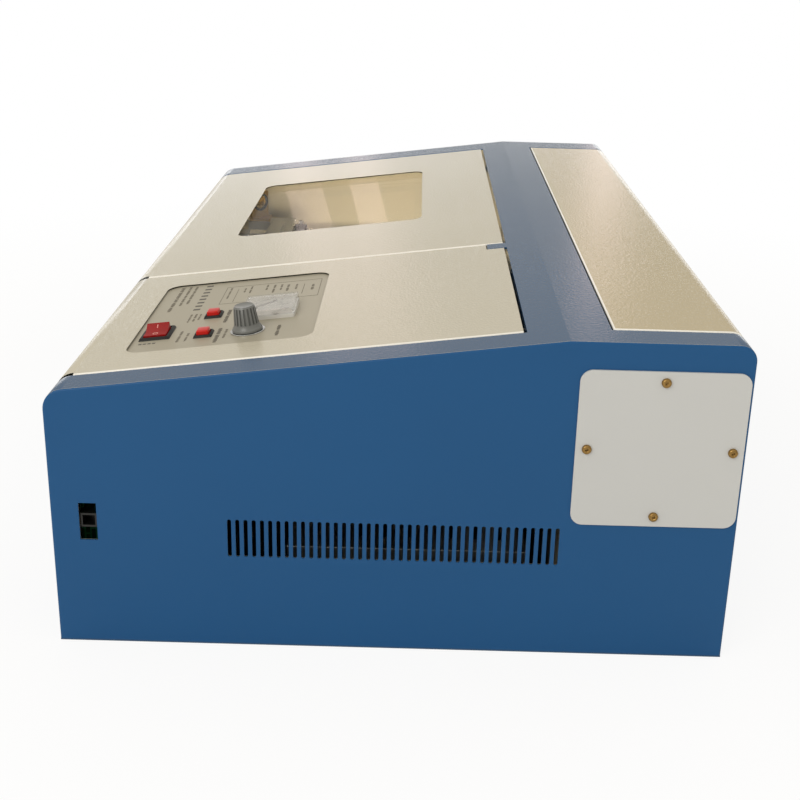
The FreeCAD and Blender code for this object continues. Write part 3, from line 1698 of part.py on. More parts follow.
collar_wall = 1.5
collar_radius = duct_half - s.collar_flange
exhaust_collar = Piece("exhaust_collar")
exhaust_collar.turn([[
    (collar_radius - collar_wall, 0),
    (collar_radius + s.collar_flange, 0),
    (collar_radius + s.collar_flange, 2),
    (collar_radius, 2),
    (collar_radius, s.collar_length),
    (collar_radius - collar_wall, s.collar_length),
]])
exhaust_collar.put(duct_middle, back, duct_centre_height, "Y")

# ---------------------------------------------------------------- electronics

supply_right = inner_right - s.supply_from_right
supply_back = bay_wall - s.supply_from_wall
supply_left = supply_right - s.supply_width
supply_front = supply_back - s.supply_length
supply_top = s.sheet + s.supply_height
power_supply = Piece("power_supply")
power_supply.pad(
    "XY", [rectangle(supply_left, supply_front, supply_right, supply_back)], s.sheet, supply_top)
power_supply.pocket(
    "XY",
    [rectangle(
        supply_left + s.sheet, supply_front + s.sheet, supply_right - s.sheet, supply_back - s.sheet)],
    s.sheet, supply_top - s.sheet)
vent_line = supply_front + s.supply_vent_margin
vent = power_supply.pocket(
    "XY",
    [stadium(
        supply_left + s.supply_vent_margin, vent_line, supply_right - s.supply_vent_margin, vent_line,
        2)],
    supply_top - s.sheet, supply_top)
power_supply.repeat(vent, "Y", s.supply_length - 2 * s.supply_vent_margin, 9)

socket_x = inner_right - 1
board_x = socket_x - s.board_from_socket
board_front = usb_front - 4
board_base = usb_base - s.board_below_usb
board_face = board_x + s.board_thickness
standoff = 4
board_bracket = Piece("board_bracket")
board_bracket.pad(
    "XZ",
    [[
        (board_x - standoff - s.sheet, s.sheet),
        (board_x - standoff + s.bracket_foot, s.sheet),
        (board_x - standoff + s.bracket_foot, 2 * s.sheet),
        (board_x - standoff, 2 * s.sheet),
        (board_x - standoff, board_base + s.board_height),
        (board_x - standoff - s.sheet, board_base + s.board_height),
    ]],
    board_front, board_front + s.board_length)
board_bracket.pad(
    "YZ",
    [
        circle(y, z, 2.5)
        for y in (board_front + 5, board_front + s.board_length - 5)
        for z in (board_base + 5, board_base + s.board_height - 5)
    ],
    board_x - standoff, board_x)
controller_board = Piece("controller_board")
controller_board.pad(
    "YZ",
    [rectangle(board_front, board_base, board_front + s.board_length, board_base + s.board_height)],
    board_x, board_face)
# A pin header, the processor, a driver's heat sink and the screw terminals, in shares of the board.
for y0, y1, z0, z1, rise in (
    (0.33, 0.71, 0.2, 0.33, 0.14),
    (0.33, 0.47, 0.49, 0.66, 0.04),
    (0.58, 0.78, 0.49, 0.74, 0.22),
    (0.33, 0.82, 0.8, 0.91, 0.13),
):
    controller_board.pad(
        "YZ",
        [rectangle(
            board_front + s.board_length * y0, board_base + s.board_height * z0,
            board_front + s.board_length * y1, board_base + s.board_height * z1)],
        board_face, board_face + s.board_height * rise)
usb_centre_y = usb_front + s.usb_width / 2
controller_board.pad(
    "YZ",
    [
        rectangle(usb_centre_y - 6, s.usb_middle_height - 5.5, usb_centre_y + 6, s.usb_middle_height + 5.5),
    ],
    board_face, socket_x)
controller_board.pocket(
    "YZ",
    [
        rectangle(usb_centre_y - 4.5, s.usb_middle_height - 4, usb_centre_y + 4.5, s.usb_middle_height + 4),
    ],
    socket_x - 11, socket_x)

inlet_x = right - s.inlet_from_right
inlet_height = s.inlet_height
mains_inlet = Piece("mains_inlet")
mains_inlet.pad(
    "XZ", [rectangle(inlet_x - 25, inlet_height - 11, inlet_x + 25, inlet_height + 11, 3)], back, back + 2.5)
mains_inlet.pad(
    "XZ", [rectangle(inlet_x - 14, inlet_height - 9, inlet_x + 14, inlet_height + 9, 2)], back - 22, back)
mains_inlet.pocket(
    "XZ", [rectangle(inlet_x - 11.5, inlet_height - 7, inlet_x + 11.5, inlet_height + 7, 1.5)],
    back - 14, back + 2.5)
for pin_x, pin_z in ((-7, 1.5), (0, -2), (7, 1.5)):
    mains_inlet.pad(
        "XZ",
        [rectangle(
            inlet_x + pin_x - 1, inlet_height + pin_z - 2,
            inlet_x + pin_x + 1, inlet_height + pin_z + 2)],
        back - 16, back - 3)

grommet_x = left + s.grommet_from_left
grommet_radius = s.grommet_radius
hose_grommets = Piece("hose_grommets", several=True)
grommet_bore = 5
grommet_heights = (60, 90)
for z in grommet_heights:
    hose = circle(grommet_x, z, grommet_bore)
    hose_grommets.pad("XZ", [circle(grommet_x, z, grommet_radius), hose], inner_back, back)
    for start, end in ((back, back + 2), (inner_back - 2, inner_back)):
        hose_grommets.pad("XZ", [circle(grommet_x, z, grommet_radius + 2), hose], start, end)

rear_panel.pocket(
    "XZ",
    [
        circle(duct_middle, duct_centre_height, collar_radius - collar_wall),
        rectangle(inlet_x - 14.2, inlet_height - 9.2, inlet_x + 14.2, inlet_height + 9.2, 2.2),
    ] + [circle(grommet_x, z, grommet_radius) for z in grommet_heights],
    inner_back, back)

# ---------------------------------------------------------------- check and write

document.recompute()
pieces = [thing for thing in document.Objects if thing.TypeId == "PartDesign::Body"]
for thing in document.Objects:
    if "Invalid" in thing.State or "Error" in thing.State:
        raise RuntimeError(f"{thing.Label} did not build: {thing.State}")
for thing in document.Objects:
    if thing.TypeId == "PartDesign::Pocket" and thing.BaseFeature is not None:
        if thing.Shape.Volume > thing.BaseFeature.Shape.Volume - 0.001:
            raise RuntimeError(f"{thing.Label} cuts nothing")
for piece in pieces:
    if piece.Shape.isNull() or not piece.Shape.isValid() or not piece.Shape.Solids:
        raise RuntimeError(f"{piece.Label} has no sound shape")

os.makedirs("parts", exist_ok=True)
for piece in pieces:
    piece.Shape.exportStep(os.path.join("parts", f"{piece.Label}.step"))
    print(f"{piece.Label}: {len(piece.Shape.Solids)} solid(s), {piece.Shape.Volume / 1000:.1f} cm3")
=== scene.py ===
import json
import math

import bmesh
import bpy
from mathutils import Matrix, Vector


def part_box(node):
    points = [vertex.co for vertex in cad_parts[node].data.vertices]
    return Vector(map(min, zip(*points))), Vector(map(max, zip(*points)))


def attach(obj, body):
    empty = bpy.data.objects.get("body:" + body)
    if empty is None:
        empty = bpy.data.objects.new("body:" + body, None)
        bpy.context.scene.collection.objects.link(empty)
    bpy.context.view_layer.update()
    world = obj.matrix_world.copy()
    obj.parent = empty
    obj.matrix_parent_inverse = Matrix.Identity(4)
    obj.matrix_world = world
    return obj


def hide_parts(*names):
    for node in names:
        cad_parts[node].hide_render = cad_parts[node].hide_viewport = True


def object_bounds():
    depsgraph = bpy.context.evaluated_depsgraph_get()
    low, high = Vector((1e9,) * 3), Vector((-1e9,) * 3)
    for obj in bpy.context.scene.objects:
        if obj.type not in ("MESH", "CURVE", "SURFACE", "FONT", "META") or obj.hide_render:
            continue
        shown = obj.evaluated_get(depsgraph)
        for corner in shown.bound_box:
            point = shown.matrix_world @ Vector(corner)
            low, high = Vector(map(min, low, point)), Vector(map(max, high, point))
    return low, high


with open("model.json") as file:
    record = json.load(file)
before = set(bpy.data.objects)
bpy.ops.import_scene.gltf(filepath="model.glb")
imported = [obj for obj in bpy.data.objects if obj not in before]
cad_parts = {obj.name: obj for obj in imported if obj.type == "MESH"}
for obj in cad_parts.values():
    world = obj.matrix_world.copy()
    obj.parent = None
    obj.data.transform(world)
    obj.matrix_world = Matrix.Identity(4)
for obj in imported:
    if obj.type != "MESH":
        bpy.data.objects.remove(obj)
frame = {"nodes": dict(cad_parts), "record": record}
cad_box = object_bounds()

# ---------------------------------------------------------------- painted case
# The case is folded and spot-welded sheet steel. Outside it has a blue polyester powder coat;
# inside it is coated the same cream as the lids. Edges are broken by the thickness of the coat.

outside_blue = "#125184", "#104c7d"
inside_cream = "#c6bda6", "#beb59d"
coat_split = 0.0012  # how far inside a panel's outer face the blue gives way to the cream


def linear(code):
    """The linear colour of an sRGB hex code, with full alpha."""
    channels = [int(code[i:i + 2], 16) / 255 for i in (1, 3, 5)]
    return [c / 12.92 if c <= 0.04045 else ((c + 0.055) / 1.055) ** 2.4 for c in channels] + [1.0]


def add_node(tree, kind, settings=None, links=None):
    """Adds one shader node, sets its properties and sockets, and links its inputs."""
    made = tree.nodes.new(kind)
    for name, value in (settings or {}).items():
        if isinstance(name, str) and hasattr(made, name):
            setattr(made, name, value)
        else:
            made.inputs[name].default_value = value
    for name, source in (links or {}).items():
        tree.links.new(source, made.inputs[name])
    return made


def start_material(name, colour, roughness, metallic=0.0):
    """A named material, with its node tree, its shader and a point's place on the piece."""
    material = bpy.data.materials.new(name)
    material.use_nodes = True
    tree = material.node_tree
    shader = tree.nodes["Principled BSDF"]
    shader.inputs["Base Color"].default_value = linear(colour)
    shader.inputs["Roughness"].default_value = roughness
    shader.inputs["Metallic"].default_value = metallic
    place = add_node(tree, "ShaderNodeTexCoord").outputs["Object"]
    return material, tree, shader, place


def drift(tree, place, colour, shade, scale):
    """A colour that wanders slowly between two tones, scale times per metre."""
    cloud = add_node(
        tree, "ShaderNodeTexNoise", {"Scale": scale, "Detail": 3.0}, {"Vector": place})
    tone = add_node(
        tree, "ShaderNodeMix", {"data_type": "RGBA", 6: linear(colour), 7: linear(shade)},
        {0: cloud.outputs["Fac"]})
    return tone.outputs[2]


def roughen(tree, shader, place, grain_mm, height_mm, strength=1.0):
    """Bumps of about grain_mm across and height_mm high."""
    grain = add_node(
        tree, "ShaderNodeTexNoise", {"Scale": 1000 / grain_mm, "Detail": 2.0, "Roughness": 0.55},
        {"Vector": place})
    bump = add_node(
        tree, "ShaderNodeBump", {"Strength": strength, "Distance": height_mm / 1000},
        {"Height": grain.outputs["Fac"]})
    tree.links.new(bump.outputs["Normal"], shader.inputs["Normal"])


def powder_coat(name, colour, shade, roughness, grain_mm, height_mm):
    """Baked powder coat: a hard satin skin whose orange peel breaks up every reflection."""
    material, tree, shader, place = start_material(name, colour, roughness)
    tree.links.new(drift(tree, place, colour, shade, 6), shader.inputs["Base Color"])
    roughen(tree, shader, place, grain_mm, height_mm)
    return material


def finish(material, *names):
    """Gives CAD nodes a material."""
    for name in names:
        for holder in frame["nodes"][name].material_slots:
            holder.material = material


def ease_edges(width_mm, *names):
    """Breaks the sharp edges of CAD nodes, as coat or tumbling does."""
    for name in names:
        weld = frame["nodes"][name].modifiers.new("weld", "WELD")
        weld.merge_threshold = 0.00001
        bevel = frame["nodes"][name].modifiers.new("bevel", "BEVEL")
        bevel.width = width_mm / 1000
        bevel.segments = 2
        bevel.limit_method = "ANGLE"
        bevel.angle_limit = math.radians(35)
        bevel.harden_normals = False


def two_sided_coat(name, axis, split, outside_is_above):
    """The blue coat on the outside of a panel and the cream coat on its inside."""
    material, tree, shader, place = start_material(name, outside_blue[0], 0.42)
    shader.inputs["Specular IOR Level"].default_value = 0.3
    roughen(tree, shader, place, 2.2, 0.02)
    parts = add_node(tree, "ShaderNodeSeparateXYZ", {}, {0: place})
    above = add_node(
        tree, "ShaderNodeMath", {"operation": "GREATER_THAN", 1: split}, {0: parts.outputs[axis]})
    blue = drift(tree, place, *outside_blue, 6)
    cream = drift(tree, place, *inside_cream, 6)
    low, high = (cream, blue) if outside_is_above else (blue, cream)
    sides = add_node(
        tree, "ShaderNodeMix", {"data_type": "RGBA"}, {0: above.outputs[0], 6: low, 7: high})
    tree.links.new(sides.outputs[2], shader.inputs["Base Color"])
    return material


for node, name, axis, outer_is_high in (
    ("right_side_panel", "coated_right_side", "X", True),
    ("left_side_panel", "coated_left_side", "X", False),
    ("front_panel", "coated_front", "Y", False),
    ("rear_panel", "coated_rear", "Y", True),
):
    outer_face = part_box(node)[outer_is_high]["XYZ".index(axis)]
    split = outer_face - coat_split if outer_is_high else outer_face + coat_split
    finish(two_sided_coat(name, axis, split, outer_is_high), node)
    ease_edges(0.5, node)

# The top's coat is glossier, and its orange peel is drawn deeper than it is, so that it shows.
# This blue is greyer than the sides': painted sheen of the light that grazes the top.
blue_coat = powder_coat("blue_powder_coat", "#2b4f73", "#294b6d", 0.18, 2.2, 0.15)
finish(blue_coat, "bottom_pan", "top_frame")
ease_edges(0.5, "top_frame", "bottom_pan")

inner_coat = powder_coat("cream_inner_coat", *inside_cream, 0.45, 2.2, 0.02)
finish(inner_coat, "bay_divider", "tube_bay_wall")
ease_edges(0.3, "bay_divider", "tube_bay_wall")

# ---------------------------------------------------------------- cover plate and its screws
# A white-coated steel plate closes the hole at the end of the laser tube. Four bronze-plated
# pan-head screws with a cross recess hold it.

white_coat = powder_coat("white_powder_coat", "#c6c7c6", "#c2c3c2", 0.5, 1.4, 0.008)
finish(white_coat, "side_cover_plate")
ease_edges(0.4, "side_cover_plate")


def open_alone(primitive, name, **settings):
    """Adds a primitive by itself, with nothing else selected, and opens it for editing."""
    if bpy.context.mode != "OBJECT":
        bpy.ops.object.mode_set(mode="OBJECT")
    bpy.ops.object.select_all(action="DESELECT")
    primitive(**settings)
    piece = bpy.context.object
    piece.name = name
    piece.data.name = name
    bpy.ops.object.transform_apply(location=True, rotation=True, scale=True)
    bpy.ops.object.mode_set(mode="EDIT")
    bpy.ops.mesh.select_mode(type="FACE")
    return piece


def open_block(name, low, high):
    """A block between two corners, open for editing."""
    low, high = Vector(low), Vector(high)
    return open_alone(
        bpy.ops.mesh.primitive_cube_add, name, size=1, location=(low + high) / 2, scale=high - low)


def open_rod(name, foot, radius, length, around=32):
    """An upright rod on foot, open for editing."""
    middle = Vector(foot) + Vector((0, 0, length / 2))
    return open_alone(
        bpy.ops.mesh.primitive_cylinder_add, name, vertices=around, radius=radius, depth=length,
        location=middle)


def pick_faces(piece, wanted):
    """Selects the faces for which wanted(centre, normal) is true, and no others."""
    shape = bmesh.from_edit_mesh(piece.data)
    for vert in shape.verts:
        vert.select = False
    for face in shape.faces:
        face.select_set(wanted(face.calc_center_median(), face.normal))
    shape.select_flush_mode()
    bmesh.update_edit_mesh(piece.data)


def pick_edges(piece, wanted):
    """Selects the edges for which wanted(middle, direction) is true, and no others."""
    bpy.ops.mesh.select_mode(type="EDGE")
    bpy.ops.mesh.select_all(action="DESELECT")
    shape = bmesh.from_edit_mesh(piece.data)
    for edge in shape.edges:
        start, end = edge.verts[0].co, edge.verts[1].co
        edge.select_set(wanted((start + end) / 2, (end - start).normalized()))
    bmesh.update_edit_mesh(piece.data)


def round_edges(width, segments):
    """Bevels the selected edges."""
    bpy.ops.mesh.bevel(offset=width, segments=segments, affect="EDGES")


def scale_picked(value, centre=(0, 0, 0)):
    """Scales what is selected about a point."""
    bpy.ops.transform.resize(value=value, center_override=centre)


def extrude_up(height):
    """Extrudes the selected faces along Z, upwards or, with a height below nought, down."""
    bpy.ops.mesh.extrude_region_move(TRANSFORM_OT_translate={"value": (0, 0, height)})


def close_piece(piece, material, smooth=35):
    """Leaves edit mode, smooths the shallow edges and gives the piece its material."""
    bpy.ops.mesh.select_mode(type="FACE")
    bpy.ops.mesh.select_all(action="SELECT")
    bpy.ops.mesh.normals_make_consistent(inside=False)
    bpy.ops.object.mode_set(mode="OBJECT")
    bpy.ops.object.shade_smooth_by_angle(angle=math.radians(smooth))
    piece.data.materials.clear()
    piece.data.materials.append(material)


def cut_away(piece, tool):
    """Cuts a finished tool shape out of a piece and removes the tool."""
    cutter = piece.modifiers.new("cut", "BOOLEAN")
    cutter.object = tool
    cutter.solver = "EXACT"
    with bpy.context.temp_override(object=piece, active_object=piece, selected_objects=[piece]):
        bpy.ops.object.modifier_apply(modifier=cutter.name)
    bpy.data.objects.remove(tool)


def turn_piece(piece, turn, place=(0, 0, 0)):
    """Turns a finished piece about the origin, then moves it, all in its mesh."""
    piece.data.transform(Matrix.Translation(Vector(place)) @ turn)
    piece.data.update()


def join_pieces(name, pieces):
    """Joins finished pieces into one."""
    bpy.ops.object.select_all(action="DESELECT")
    for piece in pieces:
        piece.select_set(True)
    bpy.context.view_layer.objects.active = pieces[0]
    bpy.ops.object.join()
    pieces[0].name = name
    return pieces[0]


def screw_material():
    """Bronze-passivated zinc: a warm metal, brighter and duller in small patches."""
    material, tree, shader, place = start_material("bronze_plated_screws", "#9a7a4a", 0.34, 1.0)
    tree.links.new(drift(tree, place, "#b39258", "#7a5c34", 400), shader.inputs["Base Color"])
    roughen(tree, shader, place, 0.6, 0.01)
    return material


bronze = screw_material()
screw_low, screw_high = [Vector(corner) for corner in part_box("side_plate_screws")]
plate_low, plate_high = [Vector(corner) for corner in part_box("side_cover_plate")]
plate_middle = (plate_low + plate_high) / 2
head_radius = 0.0035
head_seat = plate_high.x
head_rise = screw_high.x - head_seat
shank_radius = 0.0019
shank_length = head_seat - screw_low.x
recess_reach = 0.0021
recess_half_width = 0.00045
recess_depth = 0.0012
screw_reach = screw_high.y - head_radius - plate_middle.y
quarter_turn = Matrix.Rotation(math.radians(90), 4, "Y")


def make_screw(name, roll):
    """A pan-head screw with a cross recess, its axis along +Z and its seat at the origin."""
    head = open_rod(name, (0, 0, -0.0005), head_radius, head_rise + 0.0005, 40)
    pick_edges(head, lambda middle, way: middle.z > head_rise - 0.0001 and abs(way.z) < 0.1)
    round_edges(head_rise * 0.62, 5)
    close_piece(head, bronze)
    for turn in (0, 90):
        arm = open_block(
            "recess", (-recess_reach, -recess_half_width, head_rise - recess_depth),
            (recess_reach, recess_half_width, head_rise + 0.001))
        pick_faces(arm, lambda centre, normal: normal.z < -0.5)
        scale_picked((0.35, 0.6, 1))
        close_piece(arm, bronze)
        turn_piece(arm, Matrix.Rotation(math.radians(turn + roll), 4, "Z"))
        cut_away(head, arm)
    shank = open_rod("shank", (0, 0, -shank_length), shank_radius, shank_length - 0.0004)
    close_piece(shank, bronze)
    return join_pieces(name, [head, shank])


for number, (dy, dz, roll) in enumerate(((1, 0, 20), (0, 1, 48), (-1, 0, 5), (0, -1, 70))):
    screw = make_screw(f"plate_screw_{number + 1}", roll)
    turn_piece(
        screw, quarter_turn,
        (head_seat, plate_middle.y + dy * screw_reach, plate_middle.z + dz * screw_reach))
    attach(screw, "case")
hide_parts("side_plate_screws")

# ---------------------------------------------------------------- laser tube
# A glass-blown borosilicate tube lies in two white nylon saddles under straps of the same nylon.
# Nickel-plated mirror holders close its ends.


def glass_material():
    """Borosilicate: clear, faintly green and nearly smooth."""
    material, tree, shader, place = start_material("borosilicate_glass", "#eef6f2", 0.02)
    shader.inputs["Transmission Weight"].default_value = 1.0
    shader.inputs["IOR"].default_value = 1.47
    roughen(tree, shader, place, 30, 0.05, 0.3)
    return material


def draw_lines(tree, shader, place, scale, strength, height_mm):
    """Fine tool or brush lines: a noise stretched by scale and raised as bumps."""
    stretch = add_node(tree, "ShaderNodeMapping", {"Scale": scale}, {0: place})
    lines = add_node(
        tree, "ShaderNodeTexNoise", {"Scale": 1.0, "Detail": 3.0}, {"Vector": stretch.outputs[0]})
    bump = add_node(
        tree, "ShaderNodeBump", {"Strength": strength, "Distance": height_mm / 1000},
        {"Height": lines.outputs["Fac"]})
    tree.links.new(bump.outputs["Normal"], shader.inputs["Normal"])
    return lines.outputs["Fac"]


def vary_gloss(tree, shader, pattern, low, high):
    """Lets the roughness run from low to high with a pattern."""
    gloss = add_node(
        tree, "ShaderNodeMapRange", {"To Min": low, "To Max": high}, {"Value": pattern})
    tree.links.new(gloss.outputs[0], shader.inputs["Roughness"])


def turned_metal(name, colour, shade, roughness, line_mm, axis):
    """Lathe-turned or drawn metal: fine rings or lines square to the axis catch the light.

    The real lines are a few hundredths of a millimetre apart; they are drawn coarser, so that
    they don't vanish at the picture's size.
    """
    material, tree, shader, place = start_material(name, colour, roughness, 1.0)
    tree.links.new(drift(tree, place, colour, shade, 25), shader.inputs["Base Color"])
    scale = [1000 / line_mm if way == axis else 12 for way in "XYZ"]
    lines = draw_lines(tree, shader, place, scale, 0.5, 0.02)
    vary_gloss(tree, shader, lines, roughness - 0.06, roughness + 0.08)
    return material


def moulded_plastic(name, colour, shade, roughness, grain_mm=0.7, height_mm=0.01, gleam=0.5):
    """Injection-moulded plastic: even colour and its tool's spark-eroded grain, drawn coarser."""
    material, tree, shader, place = start_material(name, colour, roughness)
    shader.inputs["Specular IOR Level"].default_value = gleam
    tree.links.new(drift(tree, place, colour, shade, 60), shader.inputs["Base Color"])
    roughen(tree, shader, place, grain_mm, height_mm)
    return material


clear_glass = glass_material()
finish(clear_glass, "laser_tube")
nickel = turned_metal("nickel_plated_brass", "#c9c4b8", "#b3ab98", 0.25, 0.4, "X")
finish(nickel, "tube_end_mirrors")
nylon = moulded_plastic("white_nylon", "#e4e2da", "#d9d6cc", 0.48)
finish(nylon, "tube_saddles", "tube_straps")
galvanised = turned_metal("zinc_plated_steel", "#b9bcbd", "#9a9ea1", 0.33, 0.8, "Z")
finish(galvanised, "hinge_arms")
ease_edges(0.3, "tube_saddles", "tube_straps", "hinge_arms")

# ---------------------------------------------------------------- mirrors
# Each mirror has a gold-anodised aluminium mount. On the first two, a black ring holds the
# polished gold-coated disc. The third looks down into the head, so its disc isn't drawn.

gold_anodised = turned_metal("gold_anodised_aluminium", "#c9a55e", "#b8924a", 0.32, 0.5, "Z")
black_anodised = moulded_plastic("black_anodised_aluminium", "#1c1c1d", "#232324", 0.4, 0.4)
finish(gold_anodised, "mirror_one_mount", "mirror_two_mount", "head_mirror_mount")
ease_edges(0.4, "mirror_one_mount", "mirror_two_mount", "head_mirror_mount")


def mirror_disc():
    """Gold-coated silicon: a warm, nearly perfect mirror with a faint polish haze."""
    material, tree, shader, place = start_material("gold_coated_mirror", "#e8c277", 0.04, 1.0)
    haze = add_node(tree, "ShaderNodeTexNoise", {"Scale": 900.0, "Detail": 2.0}, {"Vector": place})
    vary_gloss(tree, shader, haze.outputs["Fac"], 0.03, 0.09)
    return material


gold_mirror = mirror_disc()
beam_height = sum(corner[2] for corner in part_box("laser_tube")) / 2
disc_radius = 0.010
disc_height = 0.0012
ring_height = 0.002


def make_mirror(name, node, body, facing):
    """A mirror disc and its clamp ring on the face of a mount's plate, turned by facing."""
    plate = [
        vert.co for vert in frame["nodes"][node].data.vertices
        if vert.co.z > beam_height + disc_radius]
    way = Vector((math.cos(facing), math.sin(facing), 0))
    across = Vector((-way.y, way.x, 0))
    face = max(way.dot(point) for point in plate)
    sides = [across.dot(point) for point in plate]
    centre = way * face + across * (min(sides) + max(sides)) / 2
    centre.z = beam_height
    turn = way.to_track_quat("Z", "Y").to_matrix().to_4x4()
    disc = open_rod(name + "_disc", (0, 0, 0), disc_radius - 0.001, disc_height, 48)
    pick_edges(disc, lambda middle, along: middle.z > disc_height / 2 and abs(along.z) < 0.1)
    round_edges(0.0002, 2)
    close_piece(disc, gold_mirror)
    ring = open_rod(name + "_ring", (0, 0, 0), disc_radius + 0.0015, ring_height, 48)
    pick_faces(ring, lambda middle, normal: normal.z > 0.9)
    bpy.ops.mesh.inset(thickness=0.0032)
    extrude_up(-disc_height)
    pick_edges(ring, lambda middle, along: middle.z > ring_height * 0.75 and abs(along.z) < 0.1)
    round_edges(0.0003, 2)
    close_piece(ring, black_anodised)
    for piece, material_slot in ((disc, "bare_aluminium"), (ring, "black_plastic")):
        turn_piece(piece, turn, centre)
        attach(piece, body)


make_mirror("mirror_one", "mirror_one_mount", "case", math.radians(-45))
make_mirror("mirror_two", "mirror_two_mount", "gantry", math.radians(45))

# ---------------------------------------------------------------- gantry and its drive
# The ring frame and the beam are machined from aluminium bar. Ground and chromed rods guide the
# beam, and rubber toothed belts driven by two black stepper motors pull it and the carriage.

milled = turned_metal("milled_aluminium", "#c3c5c6", "#adb0b2", 0.36, 1.2, "X")
finish(milled, "gantry_frame", "cross_beam", "carriage", "rail_blocks")
ease_edges(0.4, "gantry_frame", "cross_beam", "carriage", "rail_blocks")
chromed = turned_metal("hard_chromed_steel", "#d2d4d6", "#c4c7ca", 0.14, 0.3, "Y")
finish(chromed, "y_rails", "y_drive_shaft", "y_idlers")
turned_aluminium = turned_metal("turned_aluminium", "#c8cacb", "#b2b5b7", 0.28, 0.35, "Z")
finish(turned_aluminium, "x_pulley", "x_idler", "laser_head")
ease_edges(0.3, "laser_head")
motor_black = moulded_plastic("black_enamelled_steel", "#19191b", "#222224", 0.38, 0.9)
finish(motor_black, "x_motor", "y_motor")
ease_edges(0.5, "x_motor", "y_motor")
tooth_pitch = 0.002


def belt_rubber():
    """Neoprene belt: dull black, its 2 mm teeth drawn as ribs across the strand."""
    material, tree, shader, place = start_material("black_neoprene", "#1b1b1c", 0.72)
    along = add_node(
        tree, "ShaderNodeVectorMath", {"operation": "DOT_PRODUCT", 1: (1, 1, 0)}, {0: place})
    turns = add_node(
        tree, "ShaderNodeMath", {"operation": "MULTIPLY", 1: 2 * math.pi / tooth_pitch},
        {0: along.outputs["Value"]})
    ribs = add_node(tree, "ShaderNodeMath", {"operation": "SINE"}, {0: turns.outputs[0]})
    bump = add_node(
        tree, "ShaderNodeBump", {"Strength": 1.0, "Distance": 0.0004}, {"Height": ribs.outputs[0]})
    tree.links.new(bump.outputs["Normal"], shader.inputs["Normal"])
    tree.links.new(drift(tree, place, "#1b1b1c", "#262627", 80), shader.inputs["Base Color"])
    return material


finish(belt_rubber(), "x_belt", "y_belts")

# ---------------------------------------------------------------- work bed
# The bed is a brushed aluminium plate on four posts, browned by smoke. A jaw slides in a shallow
# recess in it and holds the work.


def bed_material():
    """Brushed aluminium plate with scattered smoke stains."""
    material, tree, shader, place = start_material("smoked_aluminium", "#b4b3ae", 0.4, 1.0)
    draw_lines(tree, shader, place, (12, 900, 12), 0.4, 0.03)
    stain = add_node(
        tree, "ShaderNodeTexNoise", {"Scale": 14.0, "Detail": 5.0, "Roughness": 0.65},
        {"Vector": place})
    brown = add_node(
        tree, "ShaderNodeMapRange", {"From Min": 0.52, "From Max": 0.72, "To Max": 0.55},
        {"Value": stain.outputs["Fac"]})
    tone = add_node(
        tree, "ShaderNodeMix",
        {"data_type": "RGBA", 6: linear("#b4b3ae"), 7: linear("#6d5a3f")}, {0: brown.outputs[0]})
    tree.links.new(tone.outputs[2], shader.inputs["Base Color"])
    return material


finish(bed_material(), "bed_plate")
finish(milled, "bed_posts")
finish(galvanised, "clamp_jaw")
ease_edges(0.4, "bed_plate", "clamp_jaw")

# ---------------------------------------------------------------- exhaust
# A square duct of zinc-plated sheet leads from the work chamber to a black axial fan, and a
# spun collar of the same steel behind the rear panel takes the hose.

finish(galvanised, "exhaust_duct")
black_pbt = moulded_plastic("black_pbt", "#1d1e20", "#252628", 0.46)
finish(black_pbt, "fan_frame", "fan_impeller")
spun_steel = turned_metal("spun_zinc_plated_steel", "#c6c8ca", "#b1b4b7", 0.3, 0.6, "Y")
finish(spun_steel, "exhaust_collar")
ease_edges(0.3, "exhaust_duct", "fan_frame", "exhaust_collar")

# ---------------------------------------------------------------- electronics
# The power supply is a folded zinc-plated box. The control board hangs on a bracket beside it,
# a moulded inlet takes the mains lead and two rubber grommets take the water hoses.

board_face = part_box("controller_board")[0][0] + 0.0018


def solder_mask():
    """Green solder mask over glass fibre, its tracks a lighter green, under black components."""
    material, tree, shader, place = start_material("green_solder_mask", "#08271a", 0.28)
    upright = add_node(
        tree, "ShaderNodeMapping", {"Rotation": (0, math.radians(90), 0)}, {0: place})
    cells = add_node(
        tree, "ShaderNodeTexBrick",
        {"Scale": 1.0, "Mortar Size": 0.0006, "Brick Width": 0.009, "Row Height": 0.0042,
         "Color1": linear("#08271a"), "Color2": linear("#0c4127"), "Mortar": linear("#2a6d46")},
        {"Vector": upright.outputs[0]})
    x = add_node(tree, "ShaderNodeSeparateXYZ", {}, {0: place}).outputs[0]
    on_top = add_node(
        tree, "ShaderNodeMath", {"operation": "GREATER_THAN", 1: board_face}, {0: x})
    tone = add_node(
        tree, "ShaderNodeMix", {"data_type": "RGBA", 7: linear("#0d0d0e")},
        {0: on_top.outputs[0], 6: cells.outputs["Color"]})
    tree.links.new(tone.outputs[2], shader.inputs["Base Color"])
    return material


finish(galvanised, "power_supply", "board_bracket")
finish(solder_mask(), "controller_board")
finish(black_pbt, "mains_inlet")
rubber = moulded_plastic("black_rubber", "#202021", "#29292a", 0.75)
finish(rubber, "hose_grommets")
ease_edges(0.4, "power_supply", "board_bracket", "mains_inlet", "hose_grommets")
